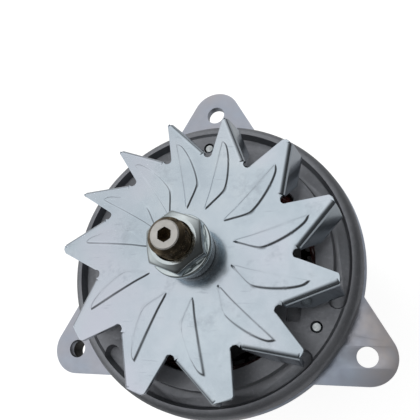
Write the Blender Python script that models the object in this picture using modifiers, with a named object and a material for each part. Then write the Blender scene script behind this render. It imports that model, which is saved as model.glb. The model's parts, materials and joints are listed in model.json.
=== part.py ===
"""Generator alternator head, modelled piece by piece as it comes apart on the bench.

Lengths are in metres and angles in degrees. +Z is the shaft's axis and points at the fan, +Y points at
the top lug of the flange plate, and the origin is where the axis meets the flat rear face.
"""

import math

import bmesh
import bpy
from mathutils import Matrix, Vector

# Gaps and cutting
SEAT = 0.0003
AIR_GAP = 0.0007
OVERRUN = 0.0020
MERGE = 0.000001

# Facets
ROUND_STEPS = 36
PLATE_STEPS = 10
RING_STEPS = 18
SHAFT_STEPS = 18
SCREW_STEPS = 8
WINDOW_STEPS = 3
CORNER_STEPS = 1
BALL_SEGMENTS = 6
BALL_RINGS = 4
CAGE_STEPS_PER_BALL = 2
CLAW_STEPS = 1

# Directions
LUG_ANGLES = (90, 210, 330)
BUSH_LUG_ANGLE = 210
BRUSH_ANGLE = 0
TERMINAL_ANGLE = 180

# Through bolts and the bolts that hold the flange plate
BOLT_RADIUS = 0.0025
BOLT_PLAY = 0.0004
BOLT_HEAD_FLATS = 0.0080
BOLT_HEAD = 0.0035
FLANGE_BOLT_GRIP = 0.0068

# Rotor
ROTOR_RADIUS = 0.0456
POLE_COUNT = 6
POLE_DISC = 0.0110
POLE_DISC_INSET = 0.0111
CLAW_ROOT_DEPTH = 0.0186
CLAW_MID_DEPTH = 0.0116
CLAW_TIP_DEPTH = 0.0051
CLAW_TIP_CLEAR = 0.0025
CLAW_ROOT_HALF_ANGLE = 18
CLAW_TIP_HALF_ANGLE = 6
CORE_RADIUS = 0.0190
CORE_LENGTH = 0.0130
BOBBIN_WALL = 0.0011
BOBBIN_INSET = 0.0134
COIL_INSET = 0.0140

# Shaft
REAR_JOURNAL_RADIUS = 0.0060
ROTOR_SEAT_RADIUS = 0.0090
SHOULDER_RADIUS = 0.0105
SHOULDER_LENGTH = 0.0103
FRONT_JOURNAL_RADIUS = 0.0085
THREAD_RADIUS = 0.0080
THREAD_PROJECTION = 0.0089
SHAFT_CHAMFER = 0.0019
SHAFT_CHAMFER_LENGTH = 0.0015
SHAFT_REAR_PLAY = 0.0007
SOCKET_FLATS = 0.0055
SOCKET_DEPTH = 0.0080
KEY_WIDTH = 0.0036
KEY_LENGTH = 0.0070
KEY_SINK = 0.0018
KEY_RISE = 0.0014

# Bearings
FRONT_BEARING_RADIUS = 0.0235
FRONT_BEARING_WIDTH = 0.0140
REAR_BEARING_RADIUS = 0.0160
REAR_BEARING_WIDTH = 0.0100
FRONT_BALLS = 7
REAR_BALLS = 7
BALL_SHARE = 0.29
BALL_PLAY = 0.00025
LAND_SHARE = 0.50
CAGE_THICKNESS_SHARE = 0.20
CAGE_HEIGHT_SHARE = 0.42
RING_CHAMFER = 0.0006
TRACK_REACH = 48

# Stack on the shaft in front of the front bearing
SPACER_LENGTH = 0.0121
SPACER_RADIUS = 0.0120
SLEEVE_LENGTH = 0.0096
SLEEVE_RADIUS = 0.0120
SLEEVE_CHAMFER = 0.0006
WASHER_THICKNESS = 0.0031
WASHER_RADIUS = 0.0139
WASHER_CHAMFER = 0.0005
NUT_FLATS = 0.0240
NUT_HEIGHT = 0.0072
NUT_CHAMFER = 0.0012
NUT_TURN = 8

# Fan
FAN_RADIUS = 0.0650
FAN_VALLEY_RADIUS = 0.0450
FAN_SHEET = 0.0020
FAN_FIRST_VALLEY = 57.3
FAN_PITCHES = (24.4,) * 4 + (35.6,) * 4 + (30.0,) * 4
FAN_TIP_LEAD = 19.8
FAN_TIP_ANGLES = (0.9,) * 4 + (2.9,) + (7.8,) * 3 + (2.9,) * 4
FAN_NOTCH_RADIUS = 0.0020
FAN_NOTCH_STEPS = 2
FAN_BEND_RADIUS = 0.0030
FAN_BEND_START = 0.0022
FAN_BEND_ANGLE = 82
FAN_BEND_STEPS = 2
BLADE_DEPTH = 0.0165
BLADE_START_SHARE = 0.1245
BLADE_LOW_START_SHARE = 0.494
BLADE_LOW_END_SHARE = 0.930
BLADE_END_SHARE = 0.967
BLADE_FLAT_END_SHARE = 0.937
BLADE_SKIN = 0.00003
BLADE_LAP = 0.00015
RIB_HEIGHT = 0.0009
RIB_TOP_SHARE = 0.86
RIB_HOLLOW_SHARE = 0.68
RIB_RADIUS_SHARES = (0.315, 0.808, 0.815, 0.750, 0.615, 0.492, 0.385)
RIB_ANGLE_SHARES = (0.76, 0.91, 0.86, 0.65, 0.40, 0.18, 0.40)

# Stator
STATOR_LENGTH = 0.0250
SLOT_COUNT = 36
SLOT_DEPTH = 0.0082
SLOT_WIDTH = 0.0038
SLOT_MOUTH = 0.0022
YOKE_WALL = 0.0026
CORE_EDGE = 0.0011
END_TURN_HEIGHT = 0.0078
END_TURN_LIFT = 0.0008
BAR_PLAY = 0.0003
BAR_START_SHARE = 0.2
BAR_WIDTH = 0.0020

# Front housing
SPIGOT_LENGTH = 0.0086
SPIGOT_STEP = 0.0010
FACE_HEIGHT = 0.0092
FRONT_WALL = 0.0055
CHANNEL_BACKING = 0.0035
BACKING_TAPER = 0.0035
RIM_ROUND = 0.0050
RIM_RISE = 0.0008
RIM_INNER_SLOPE = 0.0012
RIM_EDGE = 0.0006
RIM_ARC_STEPS = 3
CHANNEL_INSET = 0.0089
CHANNEL_DEPTH = 0.0040
CHANNEL_FLOOR_HALF = 0.0030
CHANNEL_TOP_HALF = 0.0042
CHANNEL_END_ANGLE = 13.2
CHANNEL_STEPS = 9
CHANNEL_END_STEPS = 4
FACE_BAND = 0.0074
WINDOW_MARGIN = 0.0030
WINDOW_CORNER = 0.0025
WIDE_SPOKE_HALF_ANGLE = 12.5
THIN_SPOKE_HALF_ANGLE = 3.5
HUB_WALL = 0.0072
HUB_LIP = 0.0045
HUB_LIP_THICKNESS = 0.0022
HUB_NOSE = 0.0245
HUB_NOSE_SLOPE = 0.0028
HUB_FILLET = 0.0012
POCKET_INSET = 0.0113
POCKET_LENGTH = 0.0070
POCKET_WIDTH = 0.0064
POCKET_DEPTH = 0.0028
POCKET_TURN = 24

# Flange plate
PLATE_THICKNESS = 0.0040
PLATE_EDGE = 0.0018
PLATE_MARGIN = 0.0010
LUG_REACH = 0.0100
LUG_END_RADIUS = 0.0130
LUG_HOLE_RADIUS = 0.0046
BUSH_WALL = 0.0034
BUSH_LENGTH = 0.0090

# Bearing retainer
RETAINER_THICKNESS = 0.0020
RETAINER_LAP = 0.0048
RETAINER_SCREW_RADIUS = 0.0018
RETAINER_SCREW_HEAD = 0.0032
RETAINER_SCREW_HEAD_HEIGHT = 0.0018
RETAINER_SCREW_GRIP = 0.0042
RETAINER_SCREW_ANGLES = (30, 150, 270)

# Rear housing
REAR_WALL = 0.0035
REAR_FLOOR = 0.0045
REAR_CORNER = 0.0050
REAR_CORNER_STEPS = 2
REAR_FLANGE = 0.0140
REAR_FLANGE_LEDGE = 0.0025
REAR_WALL_INSET = 0.0010
POCKET_FLOOR = 0.0030
REAR_HUB_WALL = 0.0043
REAR_HUB_LIP = 0.0010
VENT_ANGLES = tuple(range(45, 300, 30))
VENT_WIDTH = 0.0050
VENT_HUB_MARGIN = 0.0040
VENT_WALL_MARGIN = 0.0020
VENT_END_STEPS = 2

# Slip rings and brushes
SLIP_HUB_GAP = 0.0030
SLIP_HUB_WALL = 0.0045
SLIP_RING_WIDTH = 0.0060
SLIP_RING_WALL = 0.0030
SLIP_FIN = 0.0013
POLE_CLEAR = 0.0045
BRUSH_WIDTH = 0.0050
BRUSH_HEIGHT = 0.0050
BRUSH_LENGTH = 0.0127
BRUSH_TRAVEL = 0.0030
BRUSH_PLAY = 0.0003
SPRING_LENGTH = 0.0105
SPRING_RADIUS = 0.0016
SPRING_WIRE = 0.00030
SPRING_TURNS = 4
SPRING_POINTS_PER_TURN = 7
HOLDER_WALL = 0.0022
HOLDER_NOSE_GAP = 0.0030
HOLDER_BACK = 0.0020
HOLDER_FOOT_INSET = 0.0045
HOLDER_FOOT_THICKNESS = 0.0036
HOLDER_EAR = 0.0085
HOLDER_SCREW_INSET = 0.0042
HOLDER_SCREW_RADIUS = 0.0016
HOLDER_SCREW_HEAD = 0.0028
HOLDER_SCREW_HEAD_HEIGHT = 0.0017
FLOOR_SCREW_WEB = 0.0014
REGULATOR_ANGLE = -45
REGULATOR_WALL_GAP = 0.0030
REGULATOR_LENGTH = 0.0150
REGULATOR_WIDTH = 0.0120
REGULATOR_HEIGHT = 0.0080
REGULATOR_FIN = 0.0012
REGULATOR_FINS = 4
REGULATOR_FIN_DEPTH = 0.0025

# Rectifier
RECTIFIER_PLATE = 0.0020
RECTIFIER_BOSS = 0.0020
RECTIFIER_BOSS_RADIUS = 0.0040
RECTIFIER_SPACER = 0.0074
RECTIFIER_INNER_MARGIN = 0.0030
RECTIFIER_OUTER_MARGIN = 0.0040
RECTIFIER_START = 62
RECTIFIER_END = 298
RECTIFIER_SCREW_ANGLES = (90, 180, 270)
DIODE_ANGLES = (120, 150, 225)
DIODE_RADIUS = 0.0058
DIODE_HEIGHT = 0.0040
RECTIFIER_STEPS = 10

# Terminal
TERMINAL_RADIUS = 0.0030
TERMINAL_REACH = 0.0095
TERMINAL_INSULATOR_WALL = 0.0018
TERMINAL_FLANGE = 0.0020
TERMINAL_FLANGE_RADIUS = 0.0062
TERMINAL_NUT_FLATS = 0.0090
TERMINAL_NUT_HEIGHT = 0.0045

# Radii that follow from the stack, from the rotor outwards
pole_disc_radius = ROTOR_RADIUS - POLE_DISC_INSET
bobbin_radius = ROTOR_RADIUS - BOBBIN_INSET
coil_radius = ROTOR_RADIUS - COIL_INSET
stator_bore = ROTOR_RADIUS + AIR_GAP
slot_bottom = stator_bore + SLOT_DEPTH
bolt_hole = BOLT_RADIUS + BOLT_PLAY
bolt_circle = slot_bottom + YOKE_WALL + bolt_hole
stator_radius = bolt_circle + bolt_hole + CORE_EDGE
spigot_radius = stator_radius
spigot_inner = slot_bottom + SPIGOT_STEP
plate_bore = spigot_radius + SEAT
flange_bolt_circle = plate_bore + PLATE_EDGE + bolt_hole
rim_radius = flange_bolt_circle + bolt_hole + RIM_EDGE
plate_radius = rim_radius + PLATE_MARGIN
lug_circle = plate_radius + LUG_REACH
channel_radius = rim_radius - CHANNEL_INSET
window_outer = channel_radius - CHANNEL_TOP_HALF - FACE_BAND
hub_radius = FRONT_BEARING_RADIUS + SEAT + HUB_WALL
window_inner = hub_radius + WINDOW_MARGIN
retainer_screw_circle = FRONT_BEARING_RADIUS + SEAT + HUB_WALL / 2
rear_wall_outer = spigot_inner - REAR_WALL_INSET
rear_wall_inner = rear_wall_outer - REAR_WALL
regulator_radius = rear_wall_inner - REGULATOR_WALL_GAP - REGULATOR_LENGTH / 2
rear_hub_radius = REAR_BEARING_RADIUS + SEAT + REAR_HUB_WALL
slip_hub_radius = REAR_JOURNAL_RADIUS + SEAT + SLIP_HUB_WALL
slip_radius = slip_hub_radius + SEAT + SLIP_RING_WALL

# Heights that follow from the stack, from the rear face up
rear_bearing_low = POCKET_FLOOR + SEAT
rear_bearing_high = rear_bearing_low + REAR_BEARING_WIDTH
slip_hub_low = rear_bearing_high + SLIP_HUB_GAP
slip_low = slip_hub_low + SLIP_FIN
slip_high = slip_low + SLIP_RING_WIDTH + 2 * SEAT + SLIP_FIN
slip_hub_high = slip_high + SLIP_RING_WIDTH + SLIP_FIN
rear_pole_low = slip_hub_high + POLE_CLEAR
core_low = rear_pole_low + POLE_DISC + SEAT
core_high = core_low + CORE_LENGTH
front_pole_low = core_high + SEAT
front_pole_high = front_pole_low + POLE_DISC
stator_mid = (rear_pole_low + front_pole_high) / 2
stator_low = stator_mid - STATOR_LENGTH / 2
stator_high = stator_mid + STATOR_LENGTH / 2
rear_high = stator_low - SEAT
rear_flange_low = rear_high - REAR_FLANGE
shoulder_low = front_pole_high + SEAT
front_bearing_low = shoulder_low + SHOULDER_LENGTH + SEAT
front_bearing_high = front_bearing_low + FRONT_BEARING_WIDTH
spigot_low = stator_high + SEAT
plate_low = spigot_low + SPIGOT_LENGTH
plate_high = plate_low + PLATE_THICKNESS
seat_height = plate_high + SEAT
face = seat_height + FACE_HEIGHT
crest = face + RIM_RISE
hub_back = front_bearing_low - SEAT
spacer_low = front_bearing_high + SEAT
fan_low = spacer_low + SPACER_LENGTH + SEAT
fan_high = fan_low + FAN_SHEET
sleeve_low = fan_high + SEAT
washer_low = sleeve_low + SLEEVE_LENGTH + SEAT
nut_low = washer_low + WASHER_THICKNESS + SEAT
nut_high = nut_low + NUT_HEIGHT
shaft_end = nut_high + THREAD_PROJECTION


# Scene helpers

parts = None
cutters = None


def clear_scene():
    for obj in list(bpy.data.objects):
        bpy.data.objects.remove(obj)


def new_collection(name):
    made = bpy.data.collections.new(name)
    bpy.context.scene.collection.children.link(made)
    return made


def material(name, colour, roughness, metallic):
    made = bpy.data.materials.get(name)
    if made is None:
        made = bpy.data.materials.new(name)
        made.use_nodes = True
        shader = made.node_tree.nodes["Principled BSDF"]
        shader.inputs["Base Color"].default_value = (*colour, 1)
        shader.inputs["Roughness"].default_value = roughness
        shader.inputs["Metallic"].default_value = metallic
    return made


def zinc():
    return material("zinc", (0.55, 0.60, 0.65), 0.32, 1.0)


def dark_cast():
    return material("dark_cast", (0.13, 0.13, 0.14), 0.55, 0.6)


def cast_aluminium():
    return material("cast_aluminium", (0.45, 0.46, 0.47), 0.6, 0.9)


def steel():
    return material("steel", (0.42, 0.41, 0.40), 0.35, 1.0)


def dark_steel():
    return material("dark_steel", (0.10, 0.10, 0.11), 0.45, 1.0)


def laminations():
    return material("laminations", (0.16, 0.16, 0.17), 0.6, 0.7)


def enamelled_wire():
    return material("enamelled_wire", (0.28, 0.05, 0.03), 0.4, 0.3)


def copper():
    return material("copper", (0.72, 0.38, 0.22), 0.3, 1.0)


def black_plastic():
    return material("black_plastic", (0.03, 0.03, 0.03), 0.5, 0.0)


def carbon():
    return material("carbon", (0.05, 0.05, 0.055), 0.7, 0.1)


def brass():
    return material("brass", (0.62, 0.45, 0.20), 0.35, 1.0)


def shade(mesh):
    mesh.shade_smooth()
    mesh.set_sharp_from_angle(angle=math.radians(35))


def put(name, mesh, finish, parent=None):
    """A piece of the object."""
    obj = bpy.data.objects.new(name, mesh)
    parts.objects.link(obj)
    if finish is not None and not mesh.materials:
        mesh.materials.append(finish)
    obj.parent = parent
    return obj


def tool(name, mesh):
    """A cutter, or a body that is joined to a piece."""
    obj = bpy.data.objects.new(name, mesh)
    cutters.objects.link(obj)
    obj.hide_render = True
    obj.display_type = "WIRE"
    return obj


def boolean(obj, other, operation):
    step = obj.modifiers.new(f"{operation.title()} {other.name}", "BOOLEAN")
    step.operation = operation
    step.solver = "EXACT"
    step.object = other


def cut(obj, other):
    boolean(obj, other, "DIFFERENCE")


def join(obj, other):
    boolean(obj, other, "UNION")


def even_shading(obj):
    """Flat faces keep their own shading next to the cuts."""
    step = obj.modifiers.new("Even shading", "WEIGHTED_NORMAL")
    step.keep_sharp = True


def settled(obj, name):
    """The object's mesh with its modifiers applied, after which the object is gone."""
    graph = bpy.context.evaluated_depsgraph_get()
    mesh = bpy.data.meshes.new_from_object(obj.evaluated_get(graph))
    mesh.name = name
    bpy.data.objects.remove(obj)
    return mesh


# Shapes


def polar(radius, angle):
    turn = math.radians(angle)
    return radius * math.cos(turn), radius * math.sin(turn)


def arc(centre, radius, start, end, steps):
    x, y = centre
    turns = [start + (end - start) * i / steps for i in range(steps + 1)]
    return [(x + radius * math.cos(math.radians(a)), y + radius * math.sin(math.radians(a))) for a in turns]


def at(x, y, z, turn=0):
    return Matrix.Translation((x, y, z)) @ Matrix.Rotation(math.radians(turn), 4, "Z")


def turned_mesh(name, profile, steps, closed=True):
    """A profile of (radius, height) pairs, outer side top to bottom first, turned about Z."""
    mesh = bpy.data.meshes.new(name)
    edges = [(i, i + 1) for i in range(len(profile) - 1)]
    if closed:
        edges.append((len(profile) - 1, 0))
    mesh.from_pydata([(radius, 0, height) for radius, height in profile], edges, [])
    obj = tool(name, mesh)
    screw = obj.modifiers.new("Turn", "SCREW")
    screw.steps = steps
    screw.render_steps = steps
    screw.use_merge_vertices = True
    screw.merge_threshold = MERGE
    made = settled(obj, name)
    bpy.data.meshes.remove(mesh)
    shade(made)
    return made


def plate_mesh(name, outlines, low, high):
    """Flat outlines, the first one outer and the rest holes, with a thickness."""
    curve = bpy.data.curves.new(name, "CURVE")
    curve.dimensions = "2D"
    curve.fill_mode = "BOTH"
    curve.extrude = (high - low) / 2
    for outline in outlines:
        spline = curve.splines.new("POLY")
        spline.points.add(len(outline) - 1)
        for point, (x, y) in zip(spline.points, outline):
            point.co = (x, y, 0, 1)
        spline.use_cyclic_u = True
    obj = bpy.data.objects.new(name, curve)
    cutters.objects.link(obj)
    mesh = settled(obj, name)
    bpy.data.curves.remove(curve)
    rework = bmesh.new()
    rework.from_mesh(mesh)
    bmesh.ops.remove_doubles(rework, verts=rework.verts, dist=MERGE)
    bmesh.ops.translate(rework, verts=rework.verts, vec=(0, 0, (high + low) / 2))
    bmesh.ops.recalc_face_normals(rework, faces=rework.faces)
    rework.to_mesh(mesh)
    rework.free()
    shade(mesh)
    return mesh


def circle(centre, radius, steps):
    return arc(centre, radius, 0, 360 - 360 / steps, steps - 1)


def solid_mesh(name, build):
    made = bmesh.new()
    build(made)
    mesh = bpy.data.meshes.new(name)
    made.to_mesh(mesh)
    made.free()
    shade(mesh)
    return mesh


def add_cylinder(made, radius, low, high, matrix, steps):
    place = matrix @ Matrix.Translation((0, 0, (low + high) / 2))
    bmesh.ops.create_cone(
        made,
        cap_ends=True,
        segments=steps,
        radius1=radius,
        radius2=radius,
        depth=high - low,
        matrix=place,
    )


def add_hexagon(made, flats, low, high, matrix):
    add_cylinder(made, flats / 2 / math.cos(math.radians(30)), low, high, matrix, 6)


def add_box(made, low, high, matrix=None):
    centre = [(a + b) / 2 for a, b in zip(low, high)]
    size = [b - a for a, b in zip(low, high)]
    place = Matrix.Translation(centre) @ Matrix.Diagonal((*size, 1))
    bmesh.ops.create_cube(made, size=1, matrix=place if matrix is None else matrix @ place)


def cylinders_tool(name, places, radius, low, high, steps=SCREW_STEPS):
    def build(made):
        for x, y in places:
            add_cylinder(made, radius, low, high, at(x, y, 0), steps)

    return tool(name, solid_mesh(name, build))


def boxes_tool(name, boxes):
    def build(made):
        for low, high in boxes:
            add_box(made, low, high)

    return tool(name, solid_mesh(name, build))


def rotated(points, angle):
    turn = math.radians(angle)
    c = math.cos(turn)
    s = math.sin(turn)
    return [(x * c - y * s, x * s + y * c) for x, y in points]


def many_plates_tool(name, outlines, low, high):
    """One tool of several separate prisms."""
    made = bmesh.new()
    for outline in outlines:
        mesh = plate_mesh(name, [outline], low, high)
        made.from_mesh(mesh)
        bpy.data.meshes.remove(mesh)
    mesh = bpy.data.meshes.new(name)
    made.to_mesh(mesh)
    made.free()
    return tool(name, mesh)


def loft_mesh(name, rings, closed_ends=True):
    """Rings of points, each as long as the others, joined by faces."""
    made = bmesh.new()
    rows = [[made.verts.new(point) for point in ring] for ring in rings]
    count = len(rings[0])
    for low, high in zip(rows, rows[1:]):
        for i in range(count):
            j = (i + 1) % count
            made.faces.new((low[i], low[j], high[j], high[i]))
    if closed_ends:
        made.faces.new(list(reversed(rows[0])))
        made.faces.new(rows[-1])
    bmesh.ops.recalc_face_normals(made, faces=made.faces)
    mesh = bpy.data.meshes.new(name)
    made.to_mesh(mesh)
    made.free()
    shade(mesh)
    return mesh


def sector(inner, outer, start, end, corner):
    """A ring sector with rounded corners."""
    points = []
    outer_turn = math.degrees(corner / (outer - corner))
    inner_turn = math.degrees(corner / (inner + corner))
    points += arc(polar(outer - corner, start + outer_turn), corner, start - 90, start, CORNER_STEPS)
    points += arc((0, 0), outer, start + outer_turn, end - outer_turn, WINDOW_STEPS)[1:-1]
    points += arc(polar(outer - corner, end - outer_turn), corner, end, end + 90, CORNER_STEPS)
    points += arc(polar(inner + corner, end - inner_turn), corner, end + 90, end + 180, CORNER_STEPS)
    points += arc((0, 0), inner, end - inner_turn, start + inner_turn, WINDOW_STEPS)[1:-1]
    points += arc(polar(inner + corner, start + inner_turn), corner, start + 180, start + 270, CORNER_STEPS)
    return points


def hex_bolt_mesh(name, flats, head, radius, length):
    """Head below the seat at z = 0, shank above it."""
    body = tool(name, solid_mesh(name, lambda made: add_hexagon(made, flats, -head, 0, Matrix())))
    shank = cylinders_tool(name + "_shank", [(0, 0)], radius, -head / 2, length)
    join(body, shank)
    mesh = settled(body, name)
    bpy.data.objects.remove(shank)
    shade(mesh)
    return mesh


def pan_screw_mesh(name, head_radius, head, radius, length):
    """Head above the seat at z = 0, shank below it."""
    crown_share = 0.72
    profile = [
        (0, head),
        (head_radius * crown_share, head),
        (head_radius, head * (1 - crown_share / 2)),
        (head_radius, 0),
        (radius, 0),
        (radius, -length),
        (0, -length),
    ]
    return turned_mesh(name, profile, SCREW_STEPS, closed=False)


def hollow(name, inner, outer, low, high, finish, parent=None, steps=RING_STEPS, chamfer=0):
    if chamfer:
        rim = [
            (outer - chamfer, high),
            (outer, high - chamfer),
            (outer, low + chamfer),
            (outer - chamfer, low),
        ]
    else:
        rim = [(outer, high), (outer, low)]
    profile = rim + [(inner, low), (inner, high)]
    return put(name, turned_mesh(name, profile, steps), finish, parent)


# Rear end


def screw_places(radius, angles):
    return [polar(radius, angle) for angle in angles]


def rectifier_circle():
    inner = rear_hub_radius + RECTIFIER_INNER_MARGIN
    outer = rear_wall_inner - RECTIFIER_OUTER_MARGIN
    return (inner + outer) / 2


def holder_screw_places():
    x = (holder_nose() + HOLDER_FOOT_INSET + holder_back_end()) / 2
    y = BRUSH_WIDTH / 2 + HOLDER_WALL + HOLDER_EAR - HOLDER_SCREW_INSET
    return [(x, y), (x, -y)]


def rear_housing():
    wall_top = rear_flange_low + REAR_FLANGE_LEDGE
    corner = arc((rear_wall_outer - REAR_CORNER, REAR_CORNER), REAR_CORNER, 0, -90, REAR_CORNER_STEPS)
    pocket = REAR_BEARING_RADIUS + SEAT
    hub_high = rear_bearing_high + REAR_HUB_LIP
    profile = [
        (0, POCKET_FLOOR),
        (pocket, POCKET_FLOOR),
        (pocket, hub_high),
        (rear_hub_radius, hub_high),
        (rear_hub_radius, REAR_FLOOR),
        (rear_wall_inner, REAR_FLOOR),
        (rear_wall_inner, wall_top),
        (spigot_inner, wall_top + REAR_WALL),
        (spigot_inner, rear_high),
        (stator_radius, rear_high),
        (stator_radius, rear_flange_low),
        (rear_wall_outer, rear_flange_low),
    ]
    profile += corner
    profile.append((0, 0))
    mesh = turned_mesh("rear_housing", profile, ROUND_STEPS, closed=False)
    obj = put("rear_housing", mesh, cast_aluminium())
    bosses = cylinders_tool(
        "rectifier_bosses",
        screw_places(rectifier_circle(), RECTIFIER_SCREW_ANGLES),
        RECTIFIER_BOSS_RADIUS,
        REAR_FLOOR / 2,
        REAR_FLOOR + RECTIFIER_BOSS,
    )
    join(obj, bosses)
    low = rear_hub_radius + VENT_HUB_MARGIN
    high = rear_wall_inner - VENT_WALL_MARGIN
    half = VENT_WIDTH / 2
    vent = arc((high - half, 0), half, -90, 90, VENT_END_STEPS)
    vent += arc((low + half, 0), half, 90, 270, VENT_END_STEPS)
    vents = [rotated(vent, angle) for angle in VENT_ANGLES]
    cut(obj, many_plates_tool("vents", vents, -OVERRUN, REAR_FLOOR + OVERRUN))
    bolts = cylinders_tool(
        "rear_bolt_holes",
        screw_places(bolt_circle, LUG_ANGLES),
        bolt_hole,
        rear_flange_low - OVERRUN,
        rear_high + OVERRUN,
    )
    cut(obj, bolts)
    floor_top = REAR_FLOOR + OVERRUN
    rectifier = cylinders_tool(
        "rectifier_holes",
        screw_places(rectifier_circle(), RECTIFIER_SCREW_ANGLES),
        HOLDER_SCREW_RADIUS + SEAT,
        FLOOR_SCREW_WEB,
        REAR_FLOOR + RECTIFIER_BOSS + OVERRUN,
    )
    cut(obj, rectifier)
    floor = cylinders_tool(
        "holder_holes",
        holder_screw_places() + [regulator_screw_place()],
        HOLDER_SCREW_RADIUS + SEAT,
        FLOOR_SCREW_WEB,
        floor_top,
    )
    cut(obj, floor)

    def radial_hole(made):
        place = terminal_matrix()
        radius = TERMINAL_RADIUS + TERMINAL_INSULATOR_WALL + 2 * SEAT
        add_cylinder(made, radius, rear_wall_inner - OVERRUN, rear_wall_outer + OVERRUN, place, SCREW_STEPS)

    cut(obj, tool("terminal_hole", solid_mesh("terminal_hole", radial_hole)))


def terminal_height():
    positive_low = REAR_FLOOR + RECTIFIER_BOSS + RECTIFIER_PLATE + RECTIFIER_SPACER + 3 * SEAT
    return positive_low + RECTIFIER_PLATE / 2


def terminal_matrix():
    """Local +Z points outwards along the terminal."""
    turn = Matrix.Rotation(math.radians(TERMINAL_ANGLE), 4, "Z")
    return turn @ Matrix.Translation((0, 0, terminal_height())) @ Matrix.Rotation(math.radians(90), 4, "Y")


def rectifier():
    inner = rear_hub_radius + RECTIFIER_INNER_MARGIN
    outer = rear_wall_inner - RECTIFIER_OUTER_MARGIN
    outline = arc((0, 0), outer, RECTIFIER_START, RECTIFIER_END, RECTIFIER_STEPS)
    outline += arc((0, 0), inner, RECTIFIER_END, RECTIFIER_START, RECTIFIER_STEPS)
    places = screw_places(rectifier_circle(), RECTIFIER_SCREW_ANGLES)
    hole = HOLDER_SCREW_RADIUS + SEAT
    holes = [circle(place, hole, SCREW_STEPS) for place in places]
    low = REAR_FLOOR + RECTIFIER_BOSS + SEAT
    spacer_low_z = low + RECTIFIER_PLATE + SEAT
    high = spacer_low_z + RECTIFIER_SPACER + SEAT
    for name, level in (("rectifier_plate_negative", low), ("rectifier_plate_positive", high)):
        mesh = plate_mesh(name, [outline] + holes, level, level + RECTIFIER_PLATE)
        obj = put(name, mesh, cast_aluminium())
        diodes = cylinders_tool(
            name + "_diodes",
            screw_places(rectifier_circle(), DIODE_ANGLES),
            DIODE_RADIUS,
            level + RECTIFIER_PLATE / 2,
            level + RECTIFIER_PLATE + DIODE_HEIGHT,
        )
        join(obj, diodes)
    spacer = turned_mesh(
        "rectifier_spacer",
        [
            (RECTIFIER_BOSS_RADIUS, RECTIFIER_SPACER),
            (RECTIFIER_BOSS_RADIUS, 0),
            (hole, 0),
            (hole, RECTIFIER_SPACER),
        ],
        SCREW_STEPS,
    )
    grip = high + RECTIFIER_PLATE + SEAT - FLOOR_SCREW_WEB - SEAT
    screw = pan_screw_mesh(
        "rectifier_screw", HOLDER_SCREW_HEAD, HOLDER_SCREW_HEAD_HEIGHT, HOLDER_SCREW_RADIUS, grip
    )
    for number, (x, y) in enumerate(places, 1):
        obj = put(f"rectifier_spacer_{number}", spacer, black_plastic())
        obj.location = (x, y, spacer_low_z)
        obj = put(f"rectifier_screw_{number}", screw, zinc())
        obj.location = (x, y, high + RECTIFIER_PLATE + SEAT)


def terminal():
    wall_half = TERMINAL_RADIUS + SEAT + TERMINAL_INSULATOR_WALL
    flange_low = rear_wall_outer + SEAT
    flange_high = flange_low + TERMINAL_FLANGE
    bush = [
        (TERMINAL_FLANGE_RADIUS, flange_high),
        (TERMINAL_FLANGE_RADIUS, flange_low),
        (wall_half, flange_low),
        (wall_half, rear_wall_inner),
        (TERMINAL_RADIUS + SEAT, rear_wall_inner),
        (TERMINAL_RADIUS + SEAT, flange_high),
    ]
    place = terminal_matrix()
    obj = put("terminal_insulator", turned_mesh("terminal_insulator", bush, SCREW_STEPS), black_plastic())
    obj.matrix_world = place
    stud_low = rear_wall_inner - RECTIFIER_OUTER_MARGIN + SEAT
    stud_high = rear_wall_outer + TERMINAL_REACH
    rod = [
        (0, stud_high),
        (TERMINAL_RADIUS * 3 / 4, stud_high),
        (TERMINAL_RADIUS, stud_high - TERMINAL_RADIUS / 4),
        (TERMINAL_RADIUS, stud_low),
        (0, stud_low),
    ]
    stud = put("terminal_stud", turned_mesh("terminal_stud", rod, SCREW_STEPS, closed=False), brass())
    stud.matrix_world = place
    nut_base = flange_high + SEAT
    nut = nut_mesh("terminal_nut", TERMINAL_NUT_FLATS, TERMINAL_NUT_HEIGHT, TERMINAL_RADIUS + SEAT, 0)
    obj = put("terminal_nut", nut, brass())
    obj.matrix_world = place @ Matrix.Translation((0, 0, nut_base))


def nut_mesh(name, flats, height, bore, chamfer):
    """A hexagon nut that stands on z = 0. The chamfer rounds both ends of its corners."""
    body = tool(name, solid_mesh(name, lambda made: add_hexagon(made, flats, 0, height, Matrix())))
    corner = flats / 2 / math.cos(math.radians(30))
    if chamfer:
        slope_share = 0.55
        drop = chamfer * slope_share
        cone = [
            (0, height),
            (corner - chamfer, height),
            (corner + OVERRUN, height - drop * (chamfer + OVERRUN) / chamfer),
            (corner + OVERRUN, drop * (chamfer + OVERRUN) / chamfer),
            (corner - chamfer, 0),
            (0, 0),
        ]
        limit = tool(name + "_chamfer", turned_mesh(name + "_chamfer", cone, RING_STEPS, closed=False))
        boolean(body, limit, "INTERSECT")
    hole = cylinders_tool(name + "_bore", [(0, 0)], bore, -OVERRUN, height + OVERRUN, SHAFT_STEPS)
    cut(body, hole)
    return settled(body, name)


# Brush gear


def holder_nose():
    return slip_radius + HOLDER_NOSE_GAP


def brush_tail():
    return slip_radius + SEAT + BRUSH_LENGTH


def spring_end():
    return brush_tail() + SEAT + SPRING_LENGTH


def holder_back_end():
    return spring_end() + SEAT + HOLDER_BACK


def brush_heights():
    return (slip_low + SLIP_RING_WIDTH / 2, slip_high + SLIP_RING_WIDTH / 2)


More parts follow.
